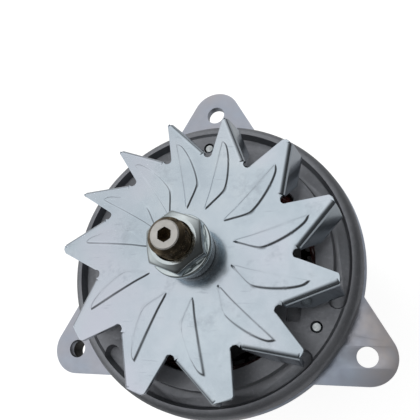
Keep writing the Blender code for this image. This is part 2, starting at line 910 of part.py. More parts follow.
def brush_holder():
    half = BRUSH_WIDTH / 2 + HOLDER_WALL
    low = brush_heights()[0] - BRUSH_HEIGHT / 2 - HOLDER_WALL / 2
    high = brush_heights()[1] + BRUSH_HEIGHT / 2 + HOLDER_WALL / 2
    nose = holder_nose()
    back = holder_back_end()

    def body(made):
        add_box(made, (nose, -half, low), (back, half, high))

    obj = put("brush_holder", solid_mesh("brush_holder", body), black_plastic())
    foot_nose = max(nose + HOLDER_FOOT_INSET, rear_hub_radius + 2 * SEAT)
    foot_low = REAR_FLOOR + SEAT
    foot_high = foot_low + HOLDER_FOOT_THICKNESS
    wide = half + HOLDER_EAR
    stem_low = foot_low + HOLDER_FOOT_THICKNESS / 2
    stem_high = low + HOLDER_WALL / 4
    stem = ((foot_nose, -half / 2, stem_low), (back - SEAT, half / 2, stem_high))
    foot = ((foot_nose + SEAT, -wide, foot_low), (back - 2 * SEAT, wide, foot_high))
    join(obj, boxes_tool("holder_stem", [stem]))
    join(obj, boxes_tool("holder_foot", [foot]))
    slots = []
    for level in brush_heights():
        y = BRUSH_WIDTH / 2 + BRUSH_PLAY
        z = BRUSH_HEIGHT / 2 + BRUSH_PLAY
        slots.append(((nose - OVERRUN, -y, level - z), (spring_end() + SEAT, y, level + z)))
    cut(obj, boxes_tool("brush_slots", slots))
    holes = cylinders_tool(
        "holder_screw_holes",
        holder_screw_places(),
        HOLDER_SCREW_RADIUS + SEAT,
        foot_low - OVERRUN,
        foot_high + OVERRUN,
    )
    cut(obj, holes)
    screw = pan_screw_mesh(
        "holder_screw",
        HOLDER_SCREW_HEAD,
        HOLDER_SCREW_HEAD_HEIGHT,
        HOLDER_SCREW_RADIUS,
        foot_high + SEAT - FLOOR_SCREW_WEB - SEAT,
    )
    for number, (x, y) in enumerate(holder_screw_places(), 1):
        fixing = put(f"holder_screw_{number}", screw, zinc())
        fixing.location = (x, y, foot_high + SEAT)


def brushes():
    for number, level in enumerate(brush_heights(), 1):
        axis = bpy.data.objects.new(f"brush_slide_{number}", None)
        parts.objects.link(axis)
        axis.location = (slip_radius, 0, level)

        def block(made):
            add_box(
                made,
                (-BRUSH_WIDTH / 4, -BRUSH_WIDTH / 2, -BRUSH_HEIGHT / 2),
                (SEAT + BRUSH_LENGTH, BRUSH_WIDTH / 2, BRUSH_HEIGHT / 2),
            )

        brush = put(f"brush_{number}", solid_mesh(f"brush_{number}", block), carbon(), axis)
        face_tool = cylinders_tool(
            f"brush_face_{number}",
            [(0, 0)],
            slip_radius + SEAT,
            level - BRUSH_HEIGHT,
            level + BRUSH_HEIGHT,
            RING_STEPS,
        )
        cut(brush, face_tool)
        spring(f"brush_spring_{number}", level)


def spring(name, level):
    curve = bpy.data.curves.new(name, "CURVE")
    curve.dimensions = "3D"
    curve.bevel_depth = SPRING_WIRE
    curve.bevel_resolution = 0
    curve.use_fill_caps = True
    line = curve.splines.new("POLY")
    count = SPRING_TURNS * SPRING_POINTS_PER_TURN
    line.points.add(count)
    start = brush_tail() + SEAT + SPRING_WIRE
    run = SPRING_LENGTH - 2 * SPRING_WIRE
    for i, point in enumerate(line.points):
        turn = math.radians(360 * i / SPRING_POINTS_PER_TURN)
        x = start + run * i / count
        point.co = (x, SPRING_RADIUS * math.cos(turn), level + SPRING_RADIUS * math.sin(turn), 1)
    obj = bpy.data.objects.new(name, curve)
    parts.objects.link(obj)
    curve.materials.append(steel())


def regulator_screw_place():
    x, y = polar(regulator_radius + REGULATOR_LENGTH / 2 - REGULATOR_WIDTH / 4, REGULATOR_ANGLE)
    return x, y


def regulator():
    low = REAR_FLOOR + SEAT
    turn = Matrix.Rotation(math.radians(REGULATOR_ANGLE), 4, "Z")
    inner = regulator_radius - REGULATOR_LENGTH / 2
    outer = regulator_radius + REGULATOR_LENGTH / 2
    half = REGULATOR_WIDTH / 2

    def body(made):
        add_box(made, (inner, -half, low), (outer, half, low + REGULATOR_HEIGHT), turn)

    obj = put("regulator", solid_mesh("regulator", body), black_plastic())
    pitch = (REGULATOR_WIDTH - REGULATOR_FIN) / REGULATOR_FINS
    gaps = []
    for i in range(REGULATOR_FINS):
        side = -half + REGULATOR_FIN + i * pitch
        top = low + REGULATOR_HEIGHT
        near = (inner - OVERRUN, side, top - REGULATOR_FIN_DEPTH)
        far = (outer + OVERRUN, side + pitch - REGULATOR_FIN, top + OVERRUN)
        gaps.append((near, far))

    def slots(made):
        for low_corner, high_corner in gaps:
            add_box(made, low_corner, high_corner, turn)

    cut(obj, tool("regulator_slots", solid_mesh("regulator_slots", slots)))
    ledge = low + REGULATOR_HEIGHT / 2
    x, y = regulator_screw_place()
    top = low + REGULATOR_HEIGHT
    head = HOLDER_SCREW_HEAD + SEAT
    recess = cylinders_tool("regulator_recess", [(x, y)], head, ledge, top + OVERRUN)
    cut(obj, recess)
    shank = HOLDER_SCREW_RADIUS + SEAT
    hole = cylinders_tool("regulator_hole", [(x, y)], shank, low - OVERRUN, top)
    cut(obj, hole)
    grip = ledge - FLOOR_SCREW_WEB
    screw = pan_screw_mesh(
        "regulator_screw", HOLDER_SCREW_HEAD, HOLDER_SCREW_HEAD_HEIGHT, HOLDER_SCREW_RADIUS, grip
    )
    fixing = put("regulator_screw", screw, zinc())
    fixing.location = (x, y, ledge + SEAT)


# Stator


def stator():
    outline = circle((0, 0), stator_radius, ROUND_STEPS)
    bore = []
    mouth_turn = math.degrees(math.asin(SLOT_MOUTH / 2 / stator_bore))
    for i in range(SLOT_COUNT):
        angle = 360 * i / SLOT_COUNT
        slot = [
            polar(stator_bore, -mouth_turn),
            (slot_bottom, -SLOT_WIDTH / 2),
            (slot_bottom, SLOT_WIDTH / 2),
            polar(stator_bore, mouth_turn),
        ]
        bore += rotated(slot, angle)
    holes = [circle(place, bolt_hole, SCREW_STEPS) for place in screw_places(bolt_circle, LUG_ANGLES)]
    mesh = plate_mesh("stator_core", [outline, bore] + holes, stator_low, stator_high)
    put("stator_core", mesh, laminations())

    inner = stator_bore + SLOT_DEPTH * BAR_START_SHARE
    outer = slot_bottom - BAR_PLAY
    round_share = 0.25
    shave = END_TURN_HEIGHT * round_share
    low = stator_high + END_TURN_LIFT
    high = low + END_TURN_HEIGHT
    ring = [
        (outer - shave, high),
        (outer, high - shave),
        (outer, low),
        (inner, low),
        (inner, high),
    ]
    winding = put("stator_winding", turned_mesh("stator_winding", ring, SLOT_COUNT), enamelled_wire())
    bottom = stator_low - END_TURN_LIFT
    mirrored = [(radius, stator_low + stator_high - height) for radius, height in reversed(ring)]
    rear_ring = tool("rear_end_turns", turned_mesh("rear_end_turns", mirrored, SLOT_COUNT))
    join(winding, rear_ring)
    half = BAR_WIDTH / 2

    def build(made):
        for i in range(SLOT_COUNT):
            turn = Matrix.Rotation(math.radians(360 * i / SLOT_COUNT), 4, "Z")
            add_box(
                made,
                (inner + BAR_PLAY, -half, bottom - END_TURN_HEIGHT / 2),
                (outer - BAR_PLAY, half, low + END_TURN_HEIGHT / 2),
                turn,
            )

    join(winding, tool("slot_bars", solid_mesh("slot_bars", build)))


# Front end


def channel_mesh(name, start, end):
    """A trough along an arc, wider at the top, with round ends."""
    rings = []
    levels = ((face - CHANNEL_DEPTH, CHANNEL_FLOOR_HALF), (crest + OVERRUN / 4, CHANNEL_TOP_HALF))
    for level, half in levels:
        outer = arc((0, 0), channel_radius + half, start, end, CHANNEL_STEPS)
        inner = arc((0, 0), channel_radius - half, end, start, CHANNEL_STEPS)
        far = arc(polar(channel_radius, end), half, end, end + 180, CHANNEL_END_STEPS)[1:-1]
        near = arc(polar(channel_radius, start), half, start + 180, start + 360, CHANNEL_END_STEPS)[1:-1]
        rings.append([(x, y, level) for x, y in outer + far + inner + near])
    return loft_mesh(name, rings)


def front_housing():
    rim_centre = (rim_radius - RIM_ROUND, crest - RIM_ROUND)
    rim_top = rim_radius - RIM_ROUND
    backing = face - CHANNEL_DEPTH - CHANNEL_BACKING
    under = face - FRONT_WALL
    bearing_seat = FRONT_BEARING_RADIUS + SEAT
    lip = front_bearing_high + SEAT
    nose = lip + HUB_LIP_THICKNESS
    profile = arc(rim_centre, RIM_ROUND, 90, 0, RIM_ARC_STEPS)
    profile += [
        (rim_radius, seat_height),
        (spigot_radius, seat_height),
        (spigot_radius, spigot_low),
        (spigot_inner, spigot_low),
        (spigot_inner, backing),
        (spigot_inner - BACKING_TAPER, under),
        (hub_radius, under),
        (hub_radius, hub_back),
        (bearing_seat, hub_back),
        (bearing_seat, lip),
        (bearing_seat - HUB_LIP, lip),
        (bearing_seat - HUB_LIP, nose),
        (HUB_NOSE, nose),
        (HUB_NOSE + HUB_NOSE_SLOPE, nose - HUB_NOSE_SLOPE / 2),
        (hub_radius - HUB_FILLET, face + HUB_FILLET),
        (hub_radius, face),
        (rim_top - RIM_INNER_SLOPE, face),
    ]
    obj = put("front_housing", turned_mesh("front_housing", profile, ROUND_STEPS), dark_cast())
    windows = []
    for lug in LUG_ANGLES:
        thin = lug + 60
        windows.append((lug + WIDE_SPOKE_HALF_ANGLE, thin - THIN_SPOKE_HALF_ANGLE))
        windows.append((thin + THIN_SPOKE_HALF_ANGLE, lug + 120 - WIDE_SPOKE_HALF_ANGLE))
    outlines = [sector(window_inner, window_outer, a, b, WINDOW_CORNER) for a, b in windows]
    cut(obj, many_plates_tool("windows", outlines, backing - OVERRUN, face + OVERRUN))
    for number, lug in enumerate(LUG_ANGLES, 1):
        name = f"channel_{number}"
        mesh = channel_mesh(name, lug + CHANNEL_END_ANGLE, lug + 120 - CHANNEL_END_ANGLE)
        cut(obj, tool(name, mesh))
    pocket = [
        (-POCKET_WIDTH / 2, -POCKET_LENGTH / 2),
        (POCKET_WIDTH / 2, -POCKET_LENGTH / 2),
        (POCKET_WIDTH / 2, POCKET_LENGTH / 2),
        (-POCKET_WIDTH / 2, POCKET_LENGTH / 2),
    ]
    pockets = []
    for lug in LUG_ANGLES:
        x, y = polar(bolt_circle - POCKET_INSET, lug)
        pockets.append([(x + u, y + v) for u, v in rotated(pocket, lug + POCKET_TURN)])
    cut(obj, many_plates_tool("pad_pockets", pockets, face - POCKET_DEPTH, face + OVERRUN))
    cut(
        obj,
        cylinders_tool(
            "through_bolt_holes",
            screw_places(bolt_circle, LUG_ANGLES),
            bolt_hole,
            spigot_low - OVERRUN,
            face + OVERRUN,
        ),
    )
    cut(
        obj,
        cylinders_tool(
            "flange_bolt_holes",
            screw_places(flange_bolt_circle, LUG_ANGLES),
            bolt_hole,
            seat_height - OVERRUN,
            plate_low + FLANGE_BOLT_GRIP + PLATE_THICKNESS + SEAT,
        ),
    )
    cut(
        obj,
        cylinders_tool(
            "retainer_screw_holes",
            screw_places(retainer_screw_circle, RETAINER_SCREW_ANGLES),
            RETAINER_SCREW_RADIUS + SEAT,
            hub_back - OVERRUN,
            hub_back + RETAINER_SCREW_GRIP + SEAT,
        ),
    )


def plate_outline():
    """A rounded triangle over the three lugs, joined to the round plate by straight sides."""
    side = lug_circle * math.cos(math.radians(60)) + LUG_END_RADIUS
    reach = math.degrees(math.acos(side / plate_radius))
    points = []
    for lug in LUG_ANGLES:
        before = lug - 60
        points += arc((0, 0), plate_radius, before - reach, before + reach, PLATE_STEPS)
        points += arc(polar(lug_circle, lug), LUG_END_RADIUS, before, before + 120, PLATE_STEPS // 2)
    return points


def flange_plate():
    holes = [circle((0, 0), plate_bore, ROUND_STEPS)]
    for angle in LUG_ANGLES:
        holes.append(circle(polar(lug_circle, angle), LUG_HOLE_RADIUS, SCREW_STEPS))
        holes.append(circle(polar(flange_bolt_circle, angle), bolt_hole, SCREW_STEPS))
    mesh = plate_mesh("flange_plate", [plate_outline()] + holes, plate_low, plate_high)
    put("flange_plate", mesh, zinc())
    bush = hollow(
        "lug_bush",
        LUG_HOLE_RADIUS,
        LUG_HOLE_RADIUS + BUSH_WALL,
        -BUSH_LENGTH,
        0,
        dark_steel(),
        steps=SCREW_STEPS,
    )
    bush.location = (*polar(lug_circle, BUSH_LUG_ANGLE), plate_low - SEAT)


def flange_bolts():
    mesh = hex_bolt_mesh(
        "flange_bolt", BOLT_HEAD_FLATS, BOLT_HEAD, BOLT_RADIUS, PLATE_THICKNESS + SEAT + FLANGE_BOLT_GRIP
    )
    for number, angle in enumerate(LUG_ANGLES, 1):
        obj = put(f"flange_bolt_{number}", mesh, zinc())
        obj.location = (*polar(flange_bolt_circle, angle), plate_low - SEAT)
        obj.rotation_euler.z = math.radians(angle)


def through_bolts():
    length = face - rear_flange_low
    mesh = hex_bolt_mesh("through_bolt", BOLT_HEAD_FLATS, BOLT_HEAD, BOLT_RADIUS, length)
    for number, angle in enumerate(LUG_ANGLES, 1):
        obj = put(f"through_bolt_{number}", mesh, zinc())
        obj.location = (*polar(bolt_circle, angle), rear_flange_low - SEAT)
        obj.rotation_euler.z = math.radians(angle)


def bearing_retainer():
    inner = FRONT_BEARING_RADIUS - RETAINER_LAP
    high = hub_back - SEAT
    low = high - RETAINER_THICKNESS
    obj = hollow("bearing_retainer", inner, hub_radius, low, high, dark_steel())
    places = screw_places(retainer_screw_circle, RETAINER_SCREW_ANGLES)
    cut(
        obj,
        cylinders_tool(
            "retainer_holes", places, RETAINER_SCREW_RADIUS + SEAT, low - OVERRUN, high + OVERRUN
        ),
    )
    grip = RETAINER_THICKNESS + 2 * SEAT + RETAINER_SCREW_GRIP
    screw = pan_screw_mesh(
        "retainer_screw", RETAINER_SCREW_HEAD, RETAINER_SCREW_HEAD_HEIGHT, RETAINER_SCREW_RADIUS, grip
    )
    for number, (x, y) in enumerate(places, 1):
        fixing = put(f"retainer_screw_{number}", screw, zinc())
        fixing.location = (x, y, low - SEAT)
        fixing.rotation_euler.x = math.radians(180)


# Bearings


def groove(pitch, ball, mid, side):
    """Points of a ball track. side is 1 on the outer ring and -1 on the inner one."""
    radius = (ball + BALL_PLAY) / math.cos(math.radians(TRACK_REACH / 2))
    return [
        (pitch + side * radius * math.cos(math.radians(a)), mid + radius * math.sin(math.radians(a)))
        for a in (TRACK_REACH, 0, -TRACK_REACH)
    ]


def bearing(prefix, bore, outer, low, width, balls, rotor, cage_axis):
    pitch = (bore + outer) / 2
    ball = (outer - bore) * BALL_SHARE
    mid = low + width / 2
    high = low + width
    land = ball * LAND_SHARE
    track = groove(pitch, ball, mid, 1)
    profile = [
        (outer - RING_CHAMFER, high),
        (outer, high - RING_CHAMFER),
        (outer, low + RING_CHAMFER),
        (outer - RING_CHAMFER, low),
        (pitch + land, low),
    ]
    profile += [point for point in reversed(track) if point[0] > pitch + land]
    profile.append((pitch + land, high))
    put(f"{prefix}_outer_ring", turned_mesh(f"{prefix}_outer_ring", profile, RING_STEPS), steel())
    track = groove(pitch, ball, mid, -1)
    profile = [(pitch - land, high)]
    profile += [point for point in track if point[0] < pitch - land]
    profile += [(pitch - land, low), (bore, low), (bore, high)]
    put(f"{prefix}_inner_ring", turned_mesh(f"{prefix}_inner_ring", profile, RING_STEPS), steel(), rotor)
    half = ball * CAGE_THICKNESS_SHARE
    tall = ball * CAGE_HEIGHT_SHARE
    ring = [
        (pitch + half, mid + tall),
        (pitch + half, mid - tall),
        (pitch - half, mid - tall),
        (pitch - half, mid + tall),
    ]
    mesh = turned_mesh(f"{prefix}_cage", ring, balls * CAGE_STEPS_PER_BALL)
    cage = put(f"{prefix}_cage", mesh, brass(), cage_axis)

    def build(made):
        for i in range(balls):
            x, y = polar(pitch, 360 * i / balls)
            bmesh.ops.create_uvsphere(
                made, u_segments=BALL_SEGMENTS, v_segments=BALL_RINGS, radius=ball, matrix=at(x, y, mid)
            )

    join(cage, tool(f"{prefix}_balls", solid_mesh(f"{prefix}_balls", build)))


# Rotor


def shaft(rotor):
    profile = [
        (0, shaft_end),
        (THREAD_RADIUS - SHAFT_CHAMFER, shaft_end),
        (THREAD_RADIUS, shaft_end - SHAFT_CHAMFER_LENGTH),
        (THREAD_RADIUS, fan_high + SEAT / 2),
        (FRONT_JOURNAL_RADIUS, fan_high),
        (FRONT_JOURNAL_RADIUS, front_bearing_low - SEAT),
        (SHOULDER_RADIUS, front_bearing_low - SEAT),
        (SHOULDER_RADIUS, shoulder_low),
        (ROTOR_SEAT_RADIUS, shoulder_low),
        (ROTOR_SEAT_RADIUS, slip_hub_high + SEAT),
        (REAR_JOURNAL_RADIUS, slip_hub_high + SEAT),
        (REAR_JOURNAL_RADIUS, POCKET_FLOOR + SHAFT_REAR_PLAY),
        (0, POCKET_FLOOR + SHAFT_REAR_PLAY),
    ]
    obj = put("shaft", turned_mesh("shaft", profile, SHAFT_STEPS, closed=False), dark_steel(), rotor)

    def socket(made):
        add_hexagon(made, SOCKET_FLATS, shaft_end - SOCKET_DEPTH, shaft_end + OVERRUN, Matrix())

    cut(obj, tool("hexagon_socket", solid_mesh("hexagon_socket", socket)))
    floor = THREAD_RADIUS - KEY_SINK
    half = KEY_WIDTH / 2
    low = sleeve_low + (SLEEVE_LENGTH - KEY_LENGTH) / 2
    high = low + KEY_LENGTH
    slot = ((floor, -half - SEAT, low - SEAT), (THREAD_RADIUS + OVERRUN, half + SEAT, high + SEAT))
    cut(obj, boxes_tool("key_slot", [slot]))

    def key(made):
        add_box(made, (floor + SEAT, -half, low), (THREAD_RADIUS + KEY_RISE, half, high))

    put("shaft_key", solid_mesh("shaft_key", key), steel(), rotor)


def claw(angle, root, middle, tip):
    """One tapering pole finger: its root is in the disc and its tip reaches over the coil."""
    rings = []
    middle_share = (middle - root) / (tip - root)
    middle_half = CLAW_ROOT_HALF_ANGLE + (CLAW_TIP_HALF_ANGLE - CLAW_ROOT_HALF_ANGLE) * middle_share
    stations = (
        (root, CLAW_ROOT_HALF_ANGLE, ROTOR_RADIUS - CLAW_ROOT_DEPTH),
        (middle, middle_half, ROTOR_RADIUS - CLAW_MID_DEPTH),
        (tip, CLAW_TIP_HALF_ANGLE, ROTOR_RADIUS - CLAW_TIP_DEPTH),
    )
    for height, half, inner in stations:
        outside = arc((0, 0), ROTOR_RADIUS, angle - half, angle + half, CLAW_STEPS)
        inside = arc((0, 0), inner, angle + half, angle - half, CLAW_STEPS)
        rings.append([(x, y, height) for x, y in outside + inside])
    return rings


def pole(name, disc_low, disc_high, root, middle, tip, first, rotor):
    mesh = turned_mesh(
        name,
        [
            (pole_disc_radius, disc_high),
            (pole_disc_radius, disc_low),
            (ROTOR_SEAT_RADIUS + SEAT, disc_low),
            (ROTOR_SEAT_RADIUS + SEAT, disc_high),
        ],
        RING_STEPS,
    )
    obj = put(name, mesh, laminations(), rotor)
    made = bmesh.new()
    for i in range(POLE_COUNT):
        finger = loft_mesh("finger", claw(first + 360 * i / POLE_COUNT, root, middle, tip))
        made.from_mesh(finger)
        bpy.data.meshes.remove(finger)
    mesh = bpy.data.meshes.new(name + "_claws")
    made.to_mesh(mesh)
    made.free()
    join(obj, tool(name + "_claws", mesh))


def poles(rotor):
    inset = POLE_DISC / 20
    pole(
        "claw_pole_front",
        front_pole_low,
        front_pole_high,
        front_pole_high - inset,
        front_pole_low + inset,
        rear_pole_low + CLAW_TIP_CLEAR,
        0,
        rotor,
    )
    pole(
        "claw_pole_rear",
        rear_pole_low,
        rear_pole_low + POLE_DISC,
        rear_pole_low + inset,
        rear_pole_low + POLE_DISC - inset,
        front_pole_high - CLAW_TIP_CLEAR,
        180 / POLE_COUNT,
        rotor,
    )
    hollow("rotor_core", ROTOR_SEAT_RADIUS + SEAT, CORE_RADIUS, core_low, core_high, laminations(), rotor)
    inner = CORE_RADIUS + SEAT
    low = core_low
    high = core_high
    spool = [
        (bobbin_radius, high),
        (bobbin_radius, high - BOBBIN_WALL),
        (inner + BOBBIN_WALL, high - BOBBIN_WALL),
        (inner + BOBBIN_WALL, low + BOBBIN_WALL),
        (bobbin_radius, low + BOBBIN_WALL),
        (bobbin_radius, low),
        (inner, low),
        (inner, high),
    ]
    put("field_bobbin", turned_mesh("field_bobbin", spool, RING_STEPS), black_plastic(), rotor)
    coil_inner = inner + BOBBIN_WALL + SEAT
    coil_low = low + BOBBIN_WALL + SEAT
    coil_high = high - BOBBIN_WALL - SEAT
    hollow("field_coil", coil_inner, coil_radius, coil_low, coil_high, copper(), rotor)


def slip_rings(rotor):
    bore = REAR_JOURNAL_RADIUS + SEAT
    top = slip_low + SLIP_RING_WIDTH + SEAT
    fin = slip_radius - SEAT
    profile = [
        (fin, slip_hub_high),
        (fin, slip_high + SLIP_RING_WIDTH + SEAT),
        (slip_hub_radius, slip_high + SLIP_RING_WIDTH + SEAT),
        (slip_hub_radius, slip_high - SEAT),
        (fin, slip_high - SEAT),
        (fin, top),
        (slip_hub_radius, top),
        (slip_hub_radius, slip_low - SEAT),
        (fin, slip_low - SEAT),
        (fin, slip_hub_low),
        (bore, slip_hub_low),
        (bore, slip_hub_high),
    ]
    put("slip_ring_hub", turned_mesh("slip_ring_hub", profile, RING_STEPS), black_plastic(), rotor)
    for number, low in enumerate((slip_low, slip_high), 1):
        hollow(
            f"slip_ring_{number}",
            slip_hub_radius + SEAT,
            slip_radius,
            low,
            low + SLIP_RING_WIDTH,
            copper(),
            rotor,
        )


def shaft_stack(rotor):
    bore = FRONT_JOURNAL_RADIUS + SEAT
    spacer_high = spacer_low + SPACER_LENGTH
    hollow("fan_spacer", bore, SPACER_RADIUS, spacer_low, spacer_high, steel(), rotor, SHAFT_STEPS)
    sleeve = hollow(
        "sleeve",
        THREAD_RADIUS + SEAT,
        SLEEVE_RADIUS,
        sleeve_low,
        sleeve_low + SLEEVE_LENGTH,
        dark_steel(),
        rotor,
        SHAFT_STEPS,
        SLEEVE_CHAMFER,
    )
    half = KEY_WIDTH / 2 + SEAT
    low = sleeve_low - OVERRUN
    high = sleeve_low + SLEEVE_LENGTH + OVERRUN
    depth = THREAD_RADIUS + KEY_RISE + SEAT
    cut(sleeve, boxes_tool("sleeve_keyway", [((0, -half, low), (depth, half, high))]))
    hollow(
        "washer",
        THREAD_RADIUS + SEAT,
        WASHER_RADIUS,
        washer_low,
        washer_low + WASHER_THICKNESS,
        zinc(),
        rotor,
        RING_STEPS,
        WASHER_CHAMFER,
    )
    mesh = nut_mesh("shaft_nut", NUT_FLATS, NUT_HEIGHT, THREAD_RADIUS + SEAT, NUT_CHAMFER)
    nut = put("shaft_nut", mesh, zinc(), rotor)
    nut.location.z = nut_low
    nut.rotation_euler.z = math.radians(NUT_TURN)


# Fan


def tooth_frame(valley):
    """Start of the bend line, its direction, and the outward normal on the tooth's clockwise side."""
    start = Vector(polar(FAN_VALLEY_RADIUS, valley))
    end = Vector(polar(FAN_RADIUS, valley + FAN_TIP_LEAD))
    along = (end - start).normalized()
    return start, along, Vector((along.y, -along.x)), (end - start).length


def fan_teeth():
    """Each tooth's clockwise valley, and the angle from its bent corner to its free corner."""
    angle = FAN_FIRST_VALLEY
    for pitch, tip in zip(FAN_PITCHES, FAN_TIP_ANGLES):
        yield angle, tip
        angle += pitch


def fan_outline():
    points = []
    for valley, tip in fan_teeth():
        centre = polar(FAN_VALLEY_RADIUS + FAN_NOTCH_RADIUS, valley)
        points += arc(centre, FAN_NOTCH_RADIUS, valley - 90, valley - 270, FAN_NOTCH_STEPS)
        start, along, out, length = tooth_frame(valley)
        inset = (BLADE_LAP - FAN_BEND_START) * out
        flat_end = length * BLADE_FLAT_END_SHARE
        points.append(start + (length * BLADE_START_SHARE - BLADE_LAP) * along + inset)
        points.append(start + flat_end * along + inset)
        points.append(start + flat_end * along)
        points.append(start + length * along)
        points.append(polar(FAN_RADIUS, valley + FAN_TIP_LEAD + tip))
    return [(point[0], point[1]) for point in points]


def blade_mesh():
    """One bent blade in its own frame: x along the bend line, y outwards, z = 0 on top of the sheet."""
    centre = (-FAN_BEND_START, -FAN_BEND_RADIUS)
    end_turn = 90 - FAN_BEND_ANGLE
    outer = arc(centre, FAN_BEND_RADIUS - BLADE_SKIN, 90, end_turn, FAN_BEND_STEPS)
    inner = arc(centre, FAN_BEND_RADIUS - FAN_SHEET + BLADE_SKIN, end_turn, 90, FAN_BEND_STEPS)
    lean = math.tan(math.radians(end_turn))
    low = -BLADE_DEPTH - OVERRUN
    outer.append((outer[-1][0] + (outer[-1][1] - low) * lean, low))
    inner.insert(0, (inner[0][0] + (inner[0][1] - low) * lean, low))
    lap = FAN_SHEET
    section = [(outer[0][0] - lap, outer[0][1])] + outer + inner + [(inner[-1][0] - lap, inner[-1][1])]
    length = tooth_frame(0)[3]
    first = length * BLADE_START_SHARE
    last = length * BLADE_END_SHARE
    rings = [[(x, y, z) for y, z in section] for x in (first, last)]
    blade = tool("blade", loft_mesh("blade", rings))
    side = [
        (first, OVERRUN),
        (first, -FAN_BEND_RADIUS),
        (length * BLADE_LOW_START_SHARE, -BLADE_DEPTH),
        (length * BLADE_LOW_END_SHARE, -BLADE_DEPTH),
        (last, -FAN_BEND_RADIUS),
        (last, OVERRUN),
    ]
    wide = 2 * (FAN_BEND_START + FAN_SHEET + BLADE_DEPTH)
    rings = [[(x, y, z) for x, z in side] for y in (-wide, wide)]
    limit = tool("blade_side", loft_mesh("blade_side", rings))
    boolean(blade, limit, "INTERSECT")
    return settled(blade, "blade")


def rib_outline(valley):
    shares = list(zip(RIB_RADIUS_SHARES, RIB_ANGLE_SHARES))
    shares.reverse()
    return [polar(FAN_RADIUS * radius, valley + FAN_TIP_LEAD * angle) for radius, angle in shares]


def shrunk(points, share):
    """An outline scaled about its middle."""
    x = sum(point[0] for point in points) / len(points)
    y = sum(point[1] for point in points) / len(points)
    return [(x + share * (u - x), y + share * (v - y)) for u, v in points]


def fan(rotor):
    outline = fan_outline()
    bore = circle((0, 0), FRONT_JOURNAL_RADIUS + SEAT, SHAFT_STEPS)
    mesh = plate_mesh("fan", [outline, bore], fan_low, fan_high)
    obj = put("fan", mesh, zinc(), rotor)
    one = blade_mesh()
    made = bmesh.new()
    for valley, _ in fan_teeth():
        start, along, out, _ = tooth_frame(valley)
        place = Matrix(
            (
                (along.x, out.x, 0, start.x),
                (along.y, out.y, 0, start.y),
                (0, 0, 1, fan_high),
                (0, 0, 0, 1),
            )
        )
        copy = one.copy()
        copy.transform(place)
        made.from_mesh(copy)
        bpy.data.meshes.remove(copy)
    bmesh.ops.recalc_face_normals(made, faces=made.faces)
    blades = bpy.data.meshes.new("fan_blades")
    made.to_mesh(blades)
    made.free()
    join(obj, tool("fan_blades", blades))
    middle = fan_low + FAN_SHEET / 2
    join(obj, rib_tool("fan_ribs", 1, RIB_TOP_SHARE, middle, fan_high + RIB_HEIGHT))
    hollow_top = fan_low + RIB_HEIGHT
    cut(obj, rib_tool("fan_rib_hollows", RIB_TOP_SHARE, RIB_HOLLOW_SHARE, fan_low - RIB_HEIGHT, hollow_top))


def rib_tool(name, foot_share, top_share, low, high):
    """One leaf-shaped swelling per tooth, tapering upwards."""
    made = bmesh.new()
    for valley, _ in fan_teeth():
        base = rib_outline(valley)
        foot = shrunk(base, foot_share)
        top = shrunk(base, top_share)
        rings = [[(x, y, low) for x, y in foot], [(x, y, high) for x, y in top]]
        rib = loft_mesh("rib", rings)
        made.from_mesh(rib)
        bpy.data.meshes.remove(rib)
    mesh = bpy.data.meshes.new(name)
    made.to_mesh(mesh)
    made.free()
    return tool(name, mesh)


def main():
    global parts, cutters
    clear_scene()
    parts = new_collection("generator_alternator_head")
    cutters = new_collection("cutters")
    rotor = bpy.data.objects.new("rotor_axis", None)
    parts.objects.link(rotor)
    cages = []
    for name in ("front_cage_axis", "rear_cage_axis"):
        axis = bpy.data.objects.new(name, None)
        parts.objects.link(axis)
        cages.append(axis)
    rear_housing()
    rectifier()
    terminal()
    brush_holder()
    brushes()
    regulator()
    stator()
    front_housing()
    flange_plate()
    flange_bolts()
    through_bolts()
    bearing_retainer()
    bearing(
        "front_bearing",
        FRONT_JOURNAL_RADIUS + SEAT,
        FRONT_BEARING_RADIUS,
        front_bearing_low,
        FRONT_BEARING_WIDTH,
        FRONT_BALLS,
        rotor,
        cages[0],
    )
    bearing(
        "rear_bearing",
        REAR_JOURNAL_RADIUS + SEAT,
        REAR_BEARING_RADIUS,
        rear_bearing_low,
        REAR_BEARING_WIDTH,
        REAR_BALLS,
        rotor,
        cages[1],
    )
    shaft(rotor)
    poles(rotor)
    slip_rings(rotor)
    fan(rotor)
    shaft_stack(rotor)
    for obj in parts.objects:
        if len(obj.modifiers):
            even_shading(obj)


main()
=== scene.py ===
"""Looks of the generator alternator head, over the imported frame. Metres, degrees, +Z along the shaft."""

import json
import math

import bmesh
import bpy
import numpy as np
from mathutils import Matrix, Vector

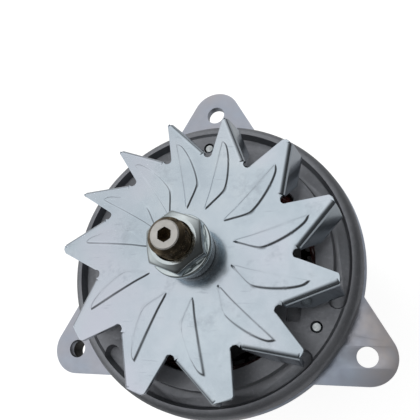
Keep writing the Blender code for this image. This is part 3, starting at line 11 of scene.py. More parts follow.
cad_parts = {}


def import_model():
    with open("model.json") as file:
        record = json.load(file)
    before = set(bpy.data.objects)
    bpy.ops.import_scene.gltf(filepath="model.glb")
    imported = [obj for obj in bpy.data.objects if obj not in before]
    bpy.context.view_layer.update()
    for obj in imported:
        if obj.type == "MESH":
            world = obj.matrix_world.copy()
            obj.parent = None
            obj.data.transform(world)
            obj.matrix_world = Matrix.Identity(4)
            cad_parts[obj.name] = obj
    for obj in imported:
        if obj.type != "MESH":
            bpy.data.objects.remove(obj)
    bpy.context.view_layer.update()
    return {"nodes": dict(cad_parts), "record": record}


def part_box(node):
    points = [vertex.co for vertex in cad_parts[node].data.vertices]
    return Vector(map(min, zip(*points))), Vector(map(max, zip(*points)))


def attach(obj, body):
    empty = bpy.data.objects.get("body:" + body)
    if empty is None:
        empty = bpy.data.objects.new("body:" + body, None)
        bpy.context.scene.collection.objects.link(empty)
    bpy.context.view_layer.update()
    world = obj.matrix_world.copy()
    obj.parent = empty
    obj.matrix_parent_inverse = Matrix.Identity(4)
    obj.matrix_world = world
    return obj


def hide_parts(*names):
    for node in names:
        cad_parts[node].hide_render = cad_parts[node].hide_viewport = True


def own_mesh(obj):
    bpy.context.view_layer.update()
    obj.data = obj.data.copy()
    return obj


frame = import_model()

# Gap between faces that touch in the real object, and how far a cutting tool stands over
SEAT = 0.0003
OVER = 0.002

# Fan: heights and radii of the sheet, then its twelve uneven teeth
FAN_LOW = 0.1105
FAN_TOP = 0.1125
FAN_SHEET = 0.0020
FAN_BORE = 0.0088
FAN_R = 0.0650
FAN_VALLEY = 0.0450
FAN_FIRST = 57.3
FAN_PITCHES = (24.4,) * 4 + (35.6,) * 4 + (30.0,) * 4
FAN_TIPS = (0.9,) * 4 + (2.9,) + (7.8,) * 3 + (2.9,) * 4
FAN_LEAD = 19.8
NOTCH = 0.0020
TIP_ROUND = 0.0012

# Fan: the bend and the blade under it, measured along and across the bend line
BEND_START = 0.0015
BEND_R = 0.0026
BEND_ANGLE = 82
BLADE_LEAN = math.tan(math.radians(90 - BEND_ANGLE))
BLADE_START = 0.0034
BLADE_FLAT_END = 0.0270
BLADE_LOW_START = 0.0135
BLADE_DEPTH = 0.0165
BLADE_SPARE = 0.0006
BLADE_FLARE = 0.0003
FLARE_POWER = 8

# Fan: the raised rib as (radius, angle from the valley), and how it rises
RIB = (
    (0.0205, 15.0),
    (0.0290, 16.0),
    (0.0400, 17.0),
    (0.0520, 17.9),
    (0.0532, 17.3),
    (0.0512, 14.6),
    (0.0455, 10.9),
    (0.0385, 6.9),
    (0.0330, 4.1),
    (0.0300, 4.3),
    (0.0250, 8.0),
)
RIB_HEIGHT = 0.00055
RIB_EDGE = 0.0010
RIB_FROM = 0.0190

# Fan: fineness of the mesh and the worn edge of the sheet
BORE_ROWS = 8
HUB_ROWS = 60
BLADE_ROWS = 50
FAN_COLUMNS = 46
EAR_COLUMNS = 4
BEND_STEPS = 9
BLADE_STEPS = 9
NOTCH_STEPS = 6
CORNER_STEPS = 5
FAN_EDGE = 0.00025
FAN_EDGE_DROP = 0.00012

# Shield
LUGS = (90, 210, 330)
SPIGOT_R = 0.0640
SPIGOT_IN = 0.0555
SPIGOT_LOW = 0.0679
SEAT_Z = 0.0808
FACE = 0.0900
CREST = 0.0908
RIM_R = 0.0725
RIM_ROUND = 0.0050
CHANNEL_R = 0.0636
CHANNEL_FLOOR_HALF = 0.0030
CHANNEL_TOP_HALF = 0.0042
CHANNEL_DEPTH = 0.0040
CHANNEL_END = 13.2
WEB_LOW = 0.0845
WEB_SKIRT = 0.0825
WINDOW_IN = 0.0340
WINDOW_OUT = 0.0520
WINDOW_CORNER = 0.0025
WINDOW_CUT = (0.0805, 0.0920)
PAD_HALF = 12.5
SPOKE_HALF = 3.5
POCKET_CIRCLE = 0.0487
POCKET_SIZE = (0.0032, 0.0035, 0.0007)
POCKET_DEPTH = 0.0028
POCKET_TURN = 24
HUB_R = 0.0310
BEARING_SEAT = 0.0238
BEARING_LIP = BEARING_SEAT - 0.0045
HUB_BACK = 0.0835
HUB_LIP = 0.0981
HUB_NOSE = 0.1003

# Flange plate and its bush
PLATE_LOW = 0.0765
PLATE_TOP = 0.0805
PLATE_R = 0.0735
PLATE_BORE = 0.0643
LUG_CIRCLE = 0.0835
LUG_R = 0.01275
LUG_HOLE = 0.0046
BUSH_R = 0.0080
BUSH_LENGTH = 0.0090
BUSH_LUG = 210

# Bolts and nuts
BOLT_CIRCLE = 0.0600
FLANGE_BOLT_CIRCLE = 0.0690
FLANGE_BOLT_LENGTH = 0.0111
BOLT_HOLE = 0.0027
BOLT_R = 0.0025
BOLT_FLATS = 0.0080
BOLT_HEAD = 0.0035
BOLT_THREAD = 0.012
RETAINER_CIRCLE = 0.0274
RETAINER_ANGLES = (30, 150, 270)
NUT_EDGE = 0.00035
NUT_LEAD = 0.00045
NUT_TURNS = (0, 0.8, 2, 5, 10, 15, 20, 25, 30, 35, 40, 45, 50, 55, 58, 59.2)
THREAD_STEPS = 12

# Shaft
SHAFT_TOP = 0.1422
THREAD_LOW = 0.1232
THREAD_R = 0.0080
SOCKET_FLATS = 0.0055
SOCKET_LOW = 0.1342
END_FACE_LEVEL = 0.1418

# Stator and winding
STATOR_LOW = 0.0426
STATOR_TOP = 0.0676
STATOR_BORE = 0.0463
SLOTS = 36
SLOT_PITCH = 10
SLOT_BOTTOM = 0.0545
SLOT_HALF = 0.0019
SLOT_MOUTH = 1.36
WIRE_IN = 0.0489
WIRE_R = 0.00062
WIRE_LAYER = 0.0013
WIRE_LAYERS = 4
WIRE_STEPS = 9
WIRE_SIDES = 6
WIRE_SPAN = 30
WIRE_RISE = 0.0062
BAR_IN = 0.0482
BAR_OUT = 0.0538
BAR_HALF = 0.0009

# Rear housing and terminal
REAR_TOP = 0.0423
REAR_FLANGE_LOW = 0.0283
POST_CIRCLE = 0.0353
POST_ANGLES = (90, 180, 270)
VENT_HALF = 0.0025
VENT_IN = 0.0271
VENT_OUT = 0.0465
TERMINAL_PLACE = (
    Matrix.Rotation(math.pi, 4, "Z") @ Matrix.Translation((0, 0, 0.0178)) @ Matrix.Rotation(math.pi / 2, 4, "Y")
)

# Brush springs
SPRING_WIRE = 0.0003
SPRING_TURNS = 4
SPRING_STEPS = 24
SPRING_SIDES = 8

# Floor, sky and lamps
FLOOR_SIZE = 4
FLOOR_SHADE = 0.25
FLOOR_GLOW = 0.86
FLOOR_MIRRORED = 0.2
SKY_SIDE = (-0.62, 0.52, 0.58)
SKY_LEVELS = ((0.0, 0.010), (0.55, 0.05), (0.68, 0.30), (0.785, 0.64), (0.86, 1.02), (0.90, 1.02), (0.97, 0.86))
HORIZON_LEVEL = 0.28
HORIZON_FADE = (0.0, 0.30)
LAMP_TARGET = (0, 0, FACE)

# Camera: its place and axes, and the photo's size, focal length and middle in pixels
CAMERA_PLACE = (0.0735, -0.0517, 0.2015 + FAN_TOP)
CAMERA_RIGHT = Vector((0.94163, 0.04249, -0.33397))
CAMERA_DOWN = Vector((-0.03696, -0.97296, -0.22798))
CAMERA_AHEAD = Vector((-0.33462, 0.22702, -0.91460))
PHOTO_SIZE = 420
FOCAL_PIXELS = 500
MIDDLE_X = 188.8
MIDDLE_Y = 256.1
SENSOR = 36

WELD = 1e-6
BUMP_DEPTH = 0.0002


# Mesh tools


def polar(radius, angle):
    turn = math.radians(angle)
    return radius * math.cos(turn), radius * math.sin(turn)


def arc(centre, radius, start, end, steps):
    x, y = centre
    turns = [math.radians(start + (end - start) * i / steps) for i in range(steps + 1)]
    return [(x + radius * math.cos(turn), y + radius * math.sin(turn)) for turn in turns]


def link(name, mesh):
    obj = bpy.data.objects.new(name, mesh)
    bpy.context.scene.collection.objects.link(obj)
    return obj


def applied(obj):
    graph = bpy.context.evaluated_depsgraph_get()
    mesh = bpy.data.meshes.new_from_object(obj.evaluated_get(graph))
    name = obj.name
    bpy.data.objects.remove(obj)
    mesh.name = name
    return mesh


def written(build, mesh, outward=True):
    """Ends a bmesh: its faces, turned outwards, go to the mesh, or to a new one where a name is given."""
    if outward:
        bmesh.ops.recalc_face_normals(build, faces=build.faces)
    if isinstance(mesh, str):
        mesh = bpy.data.meshes.new(mesh)
    build.to_mesh(mesh)
    build.free()
    return mesh


def circle(build, radius, height, count):
    turns = [math.tau * i / count for i in range(count)]
    return [build.verts.new((radius * math.cos(turn), radius * math.sin(turn), height)) for turn in turns]


def bridge(build, low, high):
    """Quads between two closed rows of points."""
    for i in range(len(low)):
        j = (i + 1) % len(low)
        build.faces.new((low[i], low[j], high[j], high[i]))


def turned(name, profile, steps=128, closed=True):
    """A ring or solid of (radius, height) points turned about Z."""
    build = bmesh.new()
    rows = []
    for radius, height in profile:
        rows.append(circle(build, radius, height, steps) if radius else [build.verts.new((0, 0, height))])
    pairs = list(zip(rows, rows[1:]))
    if closed:
        pairs.append((rows[-1], rows[0]))
    for upper, lower in pairs:
        for i in range(steps):
            j = (i + 1) % steps
            ring = [upper[i % len(upper)], upper[j % len(upper)], lower[j % len(lower)], lower[i % len(lower)]]
            corners = list(dict.fromkeys(ring))
            if len(corners) > 2:
                build.faces.new(corners)
    return written(build, name)


def rounded_profile(points, radius, steps=3):
    """Cuts each corner of a closed profile with a small round."""
    out = []
    count = len(points)
    for i in range(count):
        here = Vector(points[i])
        back = Vector(points[i - 1]) - here
        on = Vector(points[(i + 1) % count]) - here
        reach = min(radius, back.length * 0.45, on.length * 0.45)
        start = here + back.normalized() * reach
        end = here + on.normalized() * reach
        for k in range(steps + 1):
            t = k / steps
            point = start * (1 - t) ** 2 + here * 2 * t * (1 - t) + end * t**2
            out.append((point.x, point.y))
    return out


def prism(name, outlines, low, high):
    """A plate between two heights. The outlines inside the first one are holes."""
    curve = bpy.data.curves.new(name, "CURVE")
    curve.dimensions = "2D"
    curve.fill_mode = "BOTH"
    curve.extrude = (high - low) / 2
    for outline in outlines:
        spline = curve.splines.new("POLY")
        spline.points.add(len(outline) - 1)
        for point, (x, y) in zip(spline.points, outline):
            point.co = (x, y, 0, 1)
        spline.use_cyclic_u = True
    mesh = applied(link(name, curve))
    bpy.data.curves.remove(curve)
    build = bmesh.new()
    build.from_mesh(mesh)
    bmesh.ops.remove_doubles(build, verts=build.verts, dist=WELD)
    bmesh.ops.translate(build, verts=build.verts, vec=(0, 0, (high + low) / 2))
    return written(build, mesh)


def loft(name, rings):
    """A closed skin over a row of rings."""
    build = bmesh.new()
    rows = [[build.verts.new(point) for point in ring] for ring in rings]
    for low, high in zip(rows, rows[1:]):
        bridge(build, low, high)
    build.faces.new(list(reversed(rows[0])))
    build.faces.new(rows[-1])
    return written(build, name)


def merged(name, meshes):
    build = bmesh.new()
    for mesh in meshes:
        build.from_mesh(mesh)
        bpy.data.meshes.remove(mesh)
    return written(build, name, outward=False)


def moved(mesh, x=0, y=0, z=0, turn=0):
    mesh.transform(Matrix.Translation((x, y, z)) @ Matrix.Rotation(math.radians(turn), 4, "Z"))
    return mesh


def at_terminal(mesh):
    """The mesh laid from the shaft's axis to the terminal's, with its +Z outwards."""
    mesh.transform(TERMINAL_PLACE)
    return mesh


def boolean(mesh, tool_mesh, operation="DIFFERENCE"):
    body = link("body", mesh)
    tool = link("tool", tool_mesh)
    step = body.modifiers.new("cut", "BOOLEAN")
    step.operation = operation
    step.solver = "EXACT"
    step.object = tool
    result = applied(body)
    bpy.data.objects.remove(tool)
    bpy.data.meshes.remove(tool_mesh)
    return result


def drilled(mesh, circle_r, angles, radius, low, high, steps=32, operation="DIFFERENCE"):
    """The mesh with a round hole, or with UNION a round post, at each angle of a circle."""
    profile = [(0, high), (radius, high), (radius, low), (0, low)]
    tools = [moved(turned("hole", profile, steps, closed=False), *polar(circle_r, angle)) for angle in angles]
    return boolean(mesh, merged("holes", tools), operation)


def welded(mesh):
    """The mesh with points that coincide joined and slivers that the cuts left open filled, so that it is closed."""
    build = bmesh.new()
    build.from_mesh(mesh)
    bmesh.ops.remove_doubles(build, verts=build.verts, dist=2 * WELD)
    bmesh.ops.dissolve_degenerate(build, edges=build.edges, dist=WELD)
    bmesh.ops.holes_fill(build, edges=[edge for edge in build.edges if edge.is_boundary], sides=4)
    return written(build, mesh)


def bevelled(mesh, width, segments=2, angle=40):
    body = link("body", mesh)
    step = body.modifiers.new("edge", "BEVEL")
    step.width = width
    step.segments = segments
    step.limit_method = "ANGLE"
    step.angle_limit = math.radians(angle)
    return applied(body)


def piece(name, mesh, body, node, slot, angle=32, finish=None):
    """A visible piece that rides on a body and stands for a node. Edges under the angle are smooth."""
    mesh.shade_smooth()
    mesh.set_sharp_from_angle(angle=math.radians(angle))
    obj = link(name, mesh)
    mesh.materials.clear()
    mesh.materials.append(finish or FINISH[slot])
    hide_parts(node)
    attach(obj, body)
    return obj


# Materials


def nodes_of(name):
    material = bpy.data.materials.new(name)
    material.use_nodes = True
    tree = material.node_tree
    return material, tree, tree.nodes["Principled BSDF"]


def noise(tree, scale, detail=4, rough=0.5, stretch=None):
    coord = tree.nodes.new("ShaderNodeTexCoord")
    texture = tree.nodes.new("ShaderNodeTexNoise")
    texture.inputs["Scale"].default_value = scale
    texture.inputs["Detail"].default_value = detail
    texture.inputs["Roughness"].default_value = rough
    place = coord.outputs["Object"]
    if stretch:
        mapping = tree.nodes.new("ShaderNodeMapping")
        mapping.inputs["Scale"].default_value = stretch
        tree.links.new(place, mapping.inputs["Vector"])
        place = mapping.outputs["Vector"]
    tree.links.new(place, texture.inputs["Vector"])
    return texture.outputs["Fac"]


def ramp(tree, value, stops):
    node = tree.nodes.new("ShaderNodeValToRGB")
    while len(node.color_ramp.elements) < len(stops):
        node.color_ramp.elements.new(0.5)
    for element, (place, colour) in zip(node.color_ramp.elements, stops):
        element.position = place
        element.color = (*colour, 1)
    tree.links.new(value, node.inputs["Fac"])
    return node.outputs["Color"]


def remap(tree, value, low, high, from_low=0.3, from_high=0.7):
    node = tree.nodes.new("ShaderNodeMapRange")
    node.inputs["From Min"].default_value = from_low
    node.inputs["From Max"].default_value = from_high
    node.inputs["To Min"].default_value = low
    node.inputs["To Max"].default_value = high
    tree.links.new(value, node.inputs["Value"])
    return node.outputs["Result"]


def blend_colour(tree, factor, a, b):
    node = tree.nodes.new("ShaderNodeMix")
    node.data_type = "RGBA"
    tree.links.new(factor, node.inputs["Factor"])
    sockets = [socket for socket in node.inputs if socket.type == "RGBA"]
    for socket, value in zip(sockets, (a, b)):
        if isinstance(value, tuple):
            socket.default_value = (*value, 1)
        else:
            tree.links.new(value, socket)
    return [socket for socket in node.outputs if socket.type == "RGBA"][0]


def combine(tree, a, b, operation="ADD"):
    """A sum, product or maximum of two values."""
    node = tree.nodes.new("ShaderNodeMath")
    node.operation = operation
    for socket, value in zip(node.inputs, (a, b)):
        if isinstance(value, float):
            socket.default_value = value
        else:
            tree.links.new(value, socket)
    return node.outputs["Value"]


def surface(tree, shader, colour, metallic, gloss, rough, height, relief, depth=BUMP_DEPTH):
    """Colour, metal, uneven gloss and relief of a shader. Gloss is a pattern that runs between two roughnesses."""
    tree.links.new(colour, shader.inputs["Base Color"])
    shader.inputs["Metallic"].default_value = metallic
    tree.links.new(remap(tree, gloss, *rough), shader.inputs["Roughness"])
    node = tree.nodes.new("ShaderNodeBump")
    node.inputs["Strength"].default_value = relief
    node.inputs["Distance"].default_value = depth
    tree.links.new(height, node.inputs["Height"])
    tree.links.new(node.outputs["Normal"], shader.inputs["Normal"])


def metal(name, dark, light, rough=(0.3, 0.4), metallic=1.0, scale=60, grain=900, relief=0.02):
    """A metal with slow patches of colour, uneven gloss and a fine grain."""
    material, tree, shader = nodes_of(name)
    colour = ramp(tree, noise(tree, scale, 5, 0.55), ((0.3, dark), (0.7, light)))
    fine = noise(tree, grain, 3, 0.6)
    surface(tree, shader, colour, metallic, fine, rough, fine, relief)
    return material


def plated_sheet(name, dark, middle, light, lilac, worn):
    """Zinc plating: cool clouds with broad lilac patches, darker smudges and fine scratches."""
    material, tree, shader = nodes_of(name)
    slow = noise(tree, 34, 6, 0.62)
    colour = ramp(tree, slow, ((0.32, dark), (0.5, middle), (0.66, light)))
    broad = noise(tree, 17, 3, 0.5)
    colour = blend_colour(tree, remap(tree, broad, 0.0, 0.8, 0.48, 0.66), colour, lilac)
    smudge = noise(tree, 60, 5, 0.7)
    colour = blend_colour(tree, remap(tree, smudge, 0.0, 0.7, 0.58, 0.74), colour, worn)
    scratch = noise(tree, 90, 3, 0.6, (1.0, 9.0, 1.0))
    colour = blend_colour(tree, remap(tree, scratch, 0.0, 0.35, 0.64, 0.72), colour, worn)
    fine = noise(tree, 260, 4, 0.6)
    surface(tree, shader, colour, 0.95, fine, (0.15, 0.22), combine(tree, fine, slow), 0.05)
    return material


def iridescent_plate(name, middle, *drifts):
    """Passivated zinc: the middle colour over wide drifts of blue, grey, straw and slate."""
    material, tree, shader = nodes_of(name)
    drift = ramp(tree, noise(tree, 22, 4, 0.55), drifts)
    slow = noise(tree, 75, 4, 0.6)
    colour = blend_colour(tree, remap(tree, slow, 0.0, 0.5), drift, middle)
    fine = noise(tree, 300, 4, 0.6)
    surface(tree, shader, colour, 0.9, fine, (0.28, 0.42), fine, 0.05)
    return material


def cast_housing(name, dark, light, metallic, rough, relief=0.25):
    """Cast metal with slow patches, light specks and a pebbled skin."""
    material, tree, shader = nodes_of(name)
    colour = ramp(tree, noise(tree, 35, 5, 0.6), ((0.25, dark), (0.75, light)))
    specks = noise(tree, 700, 2, 0.6)
    colour = blend_colour(tree, remap(tree, specks, 0.0, 0.4, 0.55, 0.8), colour, tuple(c * 1.35 for c in light))
    fine = noise(tree, 620, 3, 0.6)
    surface(tree, shader, colour, metallic, fine, rough, fine, relief, 0.00025)
    return material


def laminated(name, dark, light, groove):
    """Stacked steel sheets: fine bands across Z."""
    material, tree, shader = nodes_of(name)
    coord = tree.nodes.new("ShaderNodeTexCoord")
    wave = tree.nodes.new("ShaderNodeTexWave")
    wave.bands_direction = "Z"
    wave.inputs["Scale"].default_value = 310
    wave.inputs["Distortion"].default_value = 0.3
    tree.links.new(coord.outputs["Object"], wave.inputs["Vector"])
    bands = wave.outputs["Fac"]
    slow = noise(tree, 60, 4, 0.6)
    colour = ramp(tree, slow, ((0.3, dark), (0.7, light)))
    colour = blend_colour(tree, remap(tree, bands, 0.0, 0.5, 0.0, 1.0), colour, groove)
    surface(tree, shader, colour, 0.6, slow, (0.4, 0.55), bands, 0.3)
    return material


def enamel(name, dark, light):
    """Varnished winding wire."""
    material, tree, shader = nodes_of(name)
    slow = noise(tree, 140, 4, 0.6)
    colour = ramp(tree, slow, ((0.3, dark), (0.7, light)))
    shader.inputs["Coat Weight"].default_value = 0.4
    surface(tree, shader, colour, 0.1, slow, (0.28, 0.45), noise(tree, 900, 2, 0.5), 0.1)
    return material


def plastic(name, dark, light):
    material, tree, shader = nodes_of(name)
    colour = ramp(tree, noise(tree, 80, 4, 0.6), ((0.3, dark), (0.7, light)))
    fine = noise(tree, 1100, 2, 0.5)
    surface(tree, shader, colour, 0, fine, (0.42, 0.6), fine, 0.12)
    return material


FINISH = {
    "zinc_plate": iridescent_plate(
        "flange_plating",
        (0.42, 0.43, 0.48),
        (0.28, (0.31, 0.35, 0.45)),
        (0.42, (0.37, 0.42, 0.50)),
        (0.54, (0.42, 0.43, 0.48)),
        (0.64, (0.48, 0.44, 0.43)),
        (0.76, (0.34, 0.41, 0.52)),
    ),
    "zinc": metal("bright_zinc", (0.50, 0.57, 0.59), (0.72, 0.77, 0.78), (0.10, 0.19), 1.0, 90, 700, 0.015),
    "dark_cast": cast_housing("shield_casting", (0.155, 0.162, 0.178), (0.250, 0.258, 0.278), 0.65, (0.32, 0.46)),
    "cast_aluminium": cast_housing("bare_casting", (0.36, 0.37, 0.38), (0.48, 0.49, 0.50), 0.8, (0.45, 0.6), 0.35),
    "steel": metal("ground_steel", (0.36, 0.35, 0.34), (0.52, 0.51, 0.50), (0.22, 0.34)),
    # Dark steel of its own tone, whose random brass-coloured patches are partly a painted highlight: they stand in
    # for glints of warm light on the thread.
    "dark_steel": metal("dark_steel_with_painted_brass_glints", (0.045, 0.038, 0.030), (0.34, 0.27, 0.18), (0.16, 0.30), 0.95, 260, 500, 0.05),
    "laminations": laminated("lamination_stack", (0.10, 0.10, 0.105), (0.19, 0.185, 0.18), (0.05, 0.05, 0.05)),
    "enamelled_wire": enamel("enamelled_wire", (0.035, 0.006, 0.006), (0.105, 0.019, 0.014)),
    "copper": metal("copper", (0.55, 0.24, 0.13), (0.76, 0.40, 0.24), (0.2, 0.35)),
    "brass": metal("brass", (0.50, 0.35, 0.13), (0.68, 0.50, 0.22), (0.22, 0.36)),
    "black_plastic": plastic("black_moulding", (0.018, 0.018, 0.019), (0.036, 0.036, 0.038)),
    "carbon": plastic("carbon", (0.030, 0.030, 0.033), (0.065, 0.065, 0.07)),
}
FAN_FINISH = plated_sheet(
    "fan_plating", (0.46, 0.53, 0.59), (0.53, 0.60, 0.66), (0.58, 0.64, 0.69), (0.56, 0.58, 0.66), (0.38, 0.43, 0.48)
)
END_FACE = metal("shaft_end_face", (0.42, 0.41, 0.39), (0.53, 0.515, 0.49), (0.34, 0.46), 0.6, 200, 900, 0.06)
BUSH_FINISH = metal("bush_steel", (0.020, 0.019, 0.018), (0.075, 0.070, 0.064), (0.40, 0.55), 0.6, 160, 500, 0.05)
STUD_FINISH = metal("stud_zinc", (0.30, 0.33, 0.34), (0.66, 0.69, 0.70), (0.20, 0.32), 1.0, 420, 700, 0.05)
SLEEVE_FINISH = metal("sleeve_steel", (0.20, 0.21, 0.22), (0.36, 0.38, 0.39), (0.22, 0.34), 1.0, 120, 600, 0.04)


# Fan


def fan_teeth():
    angle = FAN_FIRST
    for pitch, tip in zip(FAN_PITCHES, FAN_TIPS):
        yield angle, pitch, tip
        angle += pitch


def path_points(points, count):
    """Evenly spread points along a polyline."""
    lengths = [math.dist(a, b) for a, b in zip(points, points[1:])]
    total = sum(lengths)
    out = []
    for k in range(count):
        want = total * k / (count - 1)
        i = 0
        while i < len(lengths) - 1 and want > lengths[i]:
            want -= lengths[i]
            i += 1
        t = min(1, want / lengths[i])
        a, b = points[i], points[i + 1]
        out.append((a[0] + t * (b[0] - a[0]), a[1] + t * (b[1] - a[1])))
    return out


def spread(count, width, edge):
    """Shares from 0 to 1 with a narrow first and last step."""
    side = min(edge / width, 0.25)
    inner = [side + (1 - 2 * side) * i / (count - 2) for i in range(count - 1)]
    return [0] + inner + [1]


def smooth_loop(points, per_side):
    """A closed loop through the points, rounded by a spline."""
    out = []
    count = len(points)
    for i in range(count):
        a, b, c, d = (Vector(points[(i + k - 1) % count]) for k in range(4))
        for j in range(per_side):
            t = j / per_side
            out.append(
                0.5 * (2 * b + (c - a) * t + (2 * a - 5 * b + 4 * c - d) * t**2 + (3 * b - a - 3 * c + d) * t**3)
            )
    return np.array([tuple(point) for point in out])


def inside_distance(points, loop):
    """Signed distance from each point to a closed loop: positive inside."""
    a = loop[None]
    b = np.roll(loop, -1, axis=0)[None]
    p = points[:, None]
    edge = b - a
    t = np.clip(((p - a) * edge).sum(-1) / (edge**2).sum(-1), 0, 1)
    distance = np.linalg.norm(p - a - t[..., None] * edge, axis=-1).min(axis=1)
    crosses = (a[..., 1] > p[..., 1]) != (b[..., 1] > p[..., 1])
    slope = np.where(edge[..., 1] == 0, 1, edge[..., 1])
    left = p[..., 0] < edge[..., 0] * (p[..., 1] - a[..., 1]) / slope + a[..., 0]
    inside = (crosses & left).sum(axis=1) % 2 == 1
    return np.where(inside, distance, -distance)


def polar_row(near, far, count):
    """Points between two (radius, angle) ends, closer together at both ends."""
    (r0, a0), (r1, a1) = near, far
    shares = spread(count, max(math.radians(a1 - a0) * r0, 1e-4), FAN_EDGE)
    return [polar(r0 + (r1 - r0) * t, a0 + (a1 - a0) * t) for t in shares]


def tooth_rows(valley, pitch, tip):
    """Rows of flat points over one wedge of the hub and its tooth, and the bend line's frame."""
    start = Vector(polar(FAN_VALLEY, valley))
    end = Vector(polar(FAN_R, valley + FAN_LEAD))
    along = (end - start).normalized()
    out = Vector((along.y, -along.x))
    far = valley + pitch
    shares = spread(BLADE_ROWS, BLADE_FLAT_END - BLADE_START, FAN_EDGE)
    stations = [BLADE_START + (BLADE_FLAT_END - BLADE_START) * share for share in shares]
    near = [start + s * along - BEND_START * out for s in stations]
    foot_r = near[0].length
    foot_turn = -math.degrees(start.angle_signed(near[0]))
    radii = [FAN_BORE + (RIB_FROM - FAN_BORE) * i / BORE_ROWS for i in range(BORE_ROWS)]
    radii += [RIB_FROM + (FAN_VALLEY - RIB_FROM) * i / HUB_ROWS for i in range(HUB_ROWS + 1)]
    hub = []
    for radius in radii:
        foot = (foot_r if radius == radii[-1] else radius, valley + foot_turn)
        ear = polar_row((radius, valley), foot, EAR_COLUMNS)
        hub.append(ear[:-1] + polar_row(foot, (radius, far), FAN_COLUMNS))
    length = (end - start).length
    for u, v in arc((1, 1), 1, 180, 270, CORNER_STEPS)[1:]:
        s = BLADE_FLAT_END + (length - BLADE_FLAT_END) * u
        near.append(start + s * along - BEND_START * v * out)
    far_side = arc(polar(FAN_VALLEY + NOTCH, far), NOTCH, far - 180, far - 90, NOTCH_STEPS)[1:]
    corner = Vector(polar(FAN_R, valley + FAN_LEAD + tip))
    round_tip = min(TIP_ROUND, FAN_R * math.radians(tip) / 2)
    before = corner + (Vector(far_side[-1]) - corner).normalized() * round_tip
    rest = path_points([far_side[-1], tuple(before)], len(near) - 1 - len(far_side))
    far_side += rest[1:] + [polar(FAN_R, valley + FAN_LEAD + tip - math.degrees(round_tip / FAN_R))]
    tooth = []
    for p, q in zip(near[1:], far_side):
        turn_p = math.degrees(math.atan2(p[1], p[0]))
        turn_q = math.degrees(math.atan2(q[1], q[0]))
        while turn_q < turn_p - 90:
            turn_q += 360
        tooth.append(polar_row((math.hypot(*p), turn_p), (math.hypot(*q), turn_q), FAN_COLUMNS))
    inner = []
    for p, q in zip(tooth[-1], tooth[-2]):
        share = min(FAN_EDGE / max(math.dist(p, q), 1e-6), 0.6)
        inner.append((p[0] + (q[0] - p[0]) * share, p[1] + (q[1] - p[1]) * share))
    tooth.insert(-1, inner)
    notch = arc(polar(FAN_VALLEY + NOTCH, valley), NOTCH, valley + 180, valley + 90, NOTCH_STEPS)[1:]
    return hub, tooth, notch, stations, start, along, out


def blade_section(s):
    """The bend and the blade under it, as (outwards, height) pairs of outer and inner side."""
    slope = (s - BLADE_START) / (BLADE_LOW_START - BLADE_START)
    depth = BEND_R + (BLADE_DEPTH - BEND_R) * min(1, slope) + BLADE_SPARE
    inner_r = BEND_R - FAN_SHEET
    pairs = []
    for k in range(1, BEND_STEPS + 1):
        turn = math.radians(90 - BEND_ANGLE * k / BEND_STEPS)
        side, up = math.cos(turn), math.sin(turn)
        outer = (-BEND_START + BEND_R * side, -BEND_R + BEND_R * up)
        pairs.append((outer, (-BEND_START + inner_r * side, -BEND_R + inner_r * up)))
    (y0, z0), _ = pairs[-1]
    drop = min(depth, BLADE_DEPTH) + z0
    for share in spread(BLADE_STEPS, max(drop, 0.001), FAN_EDGE)[1:]:
        z = z0 - drop * share
        y = y0 + (z0 - z) * BLADE_LEAN
        pairs.append(((y, z), (y - FAN_SHEET * side, z - FAN_SHEET * up)))
    return pairs


def fan_piece():
    """The sheet's upper side as a grid. Each point keeps its mate on the lower side, which closes the sheet."""
    build = bmesh.new()
    mate = build.verts.layers.float_vector.new("mate")

    def point(top, under):
        vert = build.verts.new(top)
        vert[mate] = under
        return vert

    for valley, pitch, tip in fan_teeth():
        hub, tooth, notch, stations, start, along, out = tooth_rows(valley, pitch, tip)
        loop = smooth_loop([polar(radius, valley + angle) for radius, angle in RIB], 4)

        def raised(row):
            share = np.clip((inside_distance(np.array(row), loop) + RIB_EDGE * 0.3) / RIB_EDGE, 0, 1)
            lift = RIB_HEIGHT * share * share * (3 - 2 * share)
            return [
                point((x, y, FAN_TOP + rise), (x, y, FAN_LOW + rise)) for (x, y), rise in zip(row, lift.tolist())
            ]

        hub = [raised(row) for row in hub]
        tooth = [hub[-1][EAR_COLUMNS:]] + [raised(row) for row in tooth]
        for grid in (hub, tooth):
            for a, b in zip(grid, grid[1:]):
                for j in range(len(a) - 1):
                    build.faces.new((a[j], b[j], b[j + 1], a[j + 1]))
        ear = hub[-1][: EAR_COLUMNS + 1]
        build.faces.new([ear[0]] + raised(notch) + ear[:0:-1])
        columns = []
        for i, s in enumerate(stations):
            column = [tooth[i][0]]
            for (y, z), (y_in, z_in) in blade_section(s):
                reach = BLADE_FLARE * (s / BLADE_FLAT_END) ** FLARE_POWER * min(1, -z / BLADE_DEPTH * 2)
                place = start + (s + reach) * along
                top = place + y * out
                under = place + y_in * out
                column.append(point((*top, FAN_TOP + z), (*under, FAN_TOP + z_in)))
            columns.append(column)
        for a, b in zip(columns, columns[1:]):
            for k in range(len(a) - 1):
                build.faces.new((a[k], a[k + 1], b[k + 1], b[k]))
    bmesh.ops.remove_doubles(build, verts=build.verts, dist=2 * WELD)
    faces = list(build.faces)
    rim = [edge.link_loops[0] for edge in build.edges if edge.is_boundary]
    rim = [(loop.vert, loop.link_loop_next.vert) for loop in rim]
    edge_verts = {vert for pair in rim for vert in pair}
    twins = {}
    for vert in list(build.verts):
        under = Vector(vert[mate])
        if vert in edge_verts:
            into = (under - vert.co).normalized() * FAN_EDGE_DROP
            vert.co += into
            under -= into
        twins[vert] = build.verts.new(under)
    for face in faces:
        build.faces.new([twins[vert] for vert in reversed(face.verts)])
    for a, b in rim:
        build.faces.new((b, a, twins[a], twins[b]))
    mesh = written(build, "fan_sheet", outward=False)
    piece("fan_sheet", mesh, "rotor", "fan", "zinc_plate", 42, FAN_FINISH)


# Shield and flange


